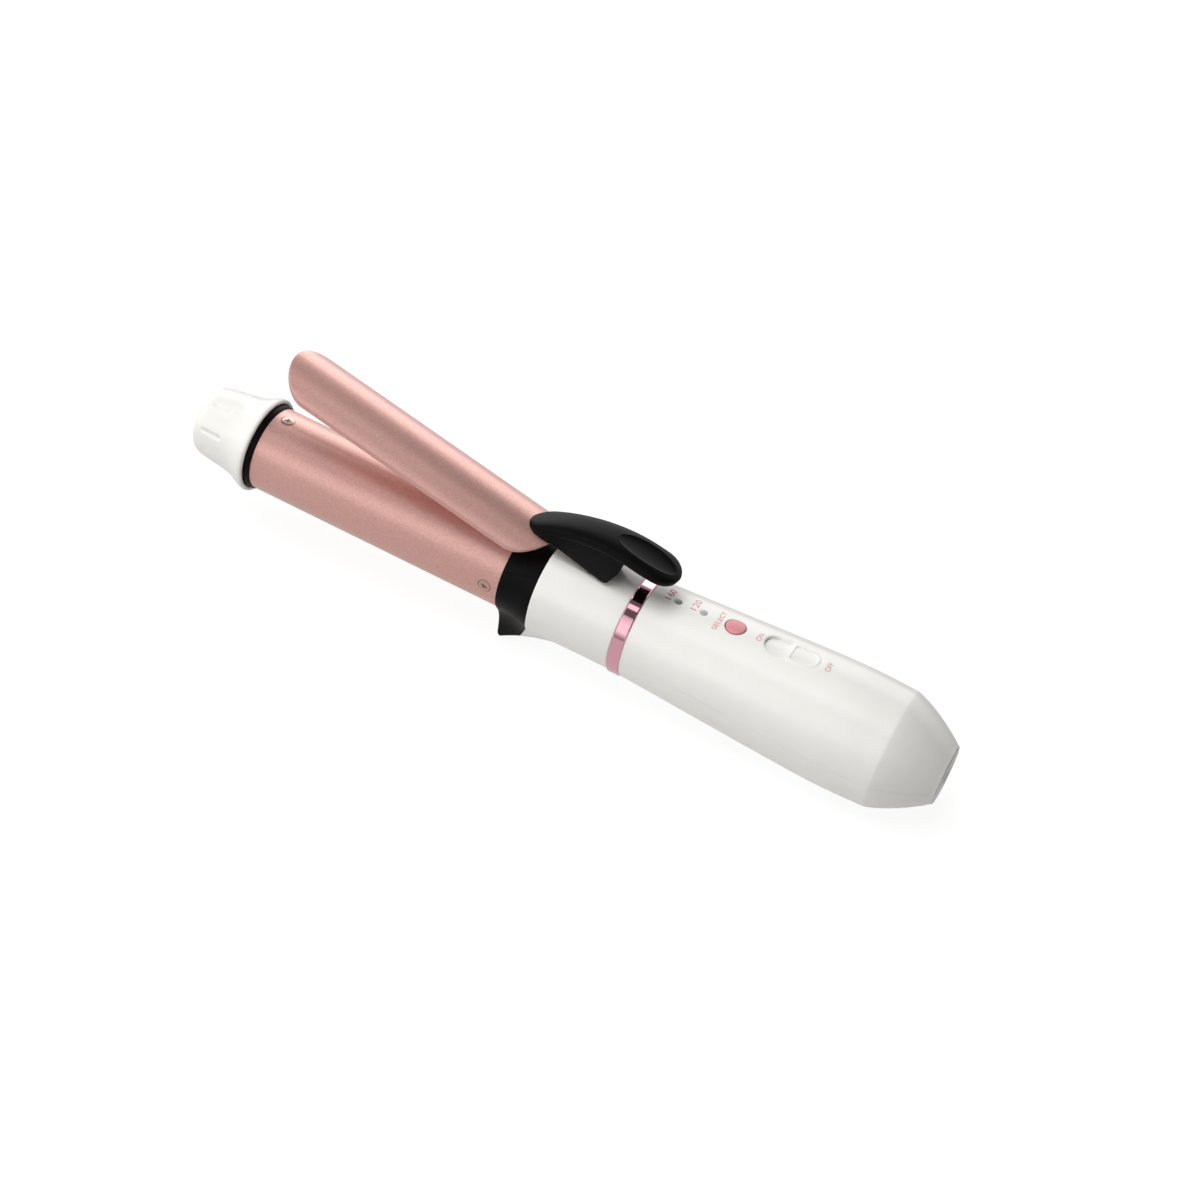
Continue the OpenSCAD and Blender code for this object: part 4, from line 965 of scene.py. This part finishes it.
def skirt_low(x):
    """Lower edge of the skirt: leaning and rounded at the rear, level along the cheek, then down
    beside the clamp."""
    level = cheek_rear + cheek_lean + cheek_round
    if x < cheek_rear + cheek_lean:
        return cheek_top - (x - cheek_rear) / cheek_lean * (cheek_top - cheek_z - cheek_round)
    if x < level:
        return (cheek_z + cheek_round
                - math.sqrt(max(0.0, cheek_round ** 2 - (level - x) ** 2)))
    return cheek_z if x < clamp_tail + 0.5 else clamp_in + clamp_t - 0.6


def skirt_place(i, j):
    """The skirt joins the arm to the cheeks and to the clamp, and narrows with the arm to its
    nose. Its first bend_part of steps is spent on the rear's bend."""
    along = (min(max(j, 1), skirt_steps - 1) - 1) / (skirt_steps - 2)
    d = cheek_rear - arc_x
    if along < bend_part:
        d += (cheek_lean + cheek_round) * (along / bend_part) ** 1.5
    else:
        d += cheek_lean + cheek_round
        d += ((arm_front - skirt_step - d)
              * (1 - (1 - (along - bend_part) / (1 - bend_part)) ** 1.7))
    half = min(cheek_half, arm_half(d + skirt_step / 2) - skirt_step)
    low, top = skirt_low(arc_x + d), arc_z + math.sqrt(lid_r ** 2 - d ** 2)
    if j in (0, skirt_steps):
        return Vector((arc_x + d, 0, (low + top) / 2))
    rounding = min(0.45, half)
    side = [(half, top)] + [(half - rounding * (1 - math.cos(t)),
                             low + rounding * (1 - math.sin(t)))
                            for t in (quarter(k, 4) for k in range(5))]
    y, z = (side + [(-y, z) for y, z in reversed(side)])[i % skirt_around]
    return Vector((arc_x + d, y, z))


lever = carved(woven(arm_place, arm_around, arm_steps),
               woven(skirt_place, skirt_around, skirt_steps), operation="UNION")
# the hollow over the collar, the gap between the cheeks, and the thumb's dish
over_collar = 14.7
hollow = turned([(cheek_front - 0.8, 0.0), (cheek_front - 0.8, over_collar),
                 (barrel_x + 12, over_collar), (barrel_x + 12, 0.0)], steps=160)
between_cheeks = box(cheek_rear - 5, pivot.x + 7.5, cheek_wall - cheek_half,
                     cheek_half - cheek_wall, 0, pivot.z + 5.8)
dish_at, dish_long, dish_half, dish_depth = 1.6, 9.6, 4.1, 0.75
dish = turned([(-math.cos(math.pi * k / 40), math.sin(math.pi * k / 40)) for k in range(41)],
              steps=120)
bmesh.ops.scale(dish, vec=(dish_long, dish_half, dish_depth), verts=dish.verts)
for v in dish.verts:
    v.co.z -= v.co.x ** 2 / (2 * lever_arc_r)
rotated(dish, math.asin(dish_at / lever_arc_r), "Y")
moved(dish, (arc_x + dish_at, 0, arc_z + math.sqrt(lever_arc_r ** 2 - dish_at ** 2)))
lever = carved(lever, hollow, between_cheeks, dish)
finished("thumb_lever", swung(lever), black_nylon, "clamp_arm", ["lever"], sharp=32)

# ---------------------------------------- inside and hardware
# What the shells hide or leave in gaps stays as the CAD has it: springs, pin, rivets and screws,
# the circuit board with its parts, the heater between its aluminium halves, sensor, fuse, leads.
for finish, names in (
        # cold-drawn wire: dark lines along it and a soft shine
        (clouded("steel_spring_wire_drawn", "bright_steel", "#8f8d88", "#b5b2ac", 0.6, (6, 1, 1),
                 Metallic=1.0, Roughness=0.3), ("torsion_spring", "heater_spring")),
        # turned, then plated and barrelled: a soft mirror
        (steel, ("hinge_pin", "handle_screws", "board_screws")),
        # cold-headed rivets: satin, with a faint orange peel
        (clouded("aluminium_cold_headed", "bright_steel", "#a9abad", "#c2c4c6", 0.5,
                 Metallic=1.0, Roughness=0.38), ("clamp_rivets",)),
        # extruded bars: fine streaks along the barrel
        (clouded("aluminium_extruded_bare", "heater_aluminium", "#a8abae", "#cdd0d3", 0.4,
                 (20, 1, 1), Metallic=1.0, Roughness=0.4),
         ("heat_spreader_upper", "heat_spreader_lower")),
        # heater wrapped in polyimide film: amber and slippery
        (clouded("film_amber_wrapped", "sensor_glass", "#a8641c", "#c27f2c", 3.0,
                 IOR=1.6, Roughness=0.25), ("ptc_heater", "thermistor")),
        # pressed and glazed ceramic: cream with a wet shine
        (clouded("ceramic_cream_glazed", "fuse_ceramic", "#d6d1c2", "#e2decf", 2.0,
                 IOR=1.5, Roughness=0.2), ("thermal_fuse",)),
        # braided glass yarn: dull, with darker streaks along it, painted shade for the gaps between
        # the strands
        (clouded("glass_yarn_braided", "lead_sleeve", "#c9c0ab", "#ebe4d2", 0.5, (2, 1, 1),
                 Roughness=0.85), ("heater_leads",)),
        # resin moulded with mineral filler: chalky
        (clouded("resin_cream_moulded", "block_resin", "#d8d2c3", "#e4dfd1", 1.2, Roughness=0.6),
         ("terminal_block",)),
        # glass-epoxy under solder mask: green with paler tracks that run along the board
        (clouded("laminate_green_masked", "board_laminate", "#1c5a35", "#2f7a4c", 1.5, (5, 1, 1),
                 IOR=1.5, Roughness=0.35), ("circuit_board",)),
        # filled black resin straight from the tool: even and satin
        (clouded("resin_black_moulded", "switch_resin", "#18181a", "#222224", 1.0, Roughness=0.5),
         ("button_switch", "slide_switch", "triac")),
        # unfilled acetal: ivory and waxy
        (clouded("acetal_ivory_moulded", "switch_moving", "#d9d1aa", "#e3dcb8", 2.0,
                 IOR=1.48, Roughness=0.4), ("switch_plunger", "slide_actuator")),
        # cast epoxy: clear with a little haze
        (clouded("epoxy_clear_cast", "clear_resin", "#d4dad6", "#e2e7e3", 1.0,
                 IOR=1.5, Roughness=0.1, Transmission_Weight=0.6), ("leds",)),
        # dipped epoxy: brick red, thick and glossy
        (clouded("epoxy_red_dipped", "film_coating", "#a83226", "#b8402f", 2.0,
                 IOR=1.5, Roughness=0.18), ("capacitor",))):
    for name in names:
        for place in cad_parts[name].material_slots:
            place.material = finish
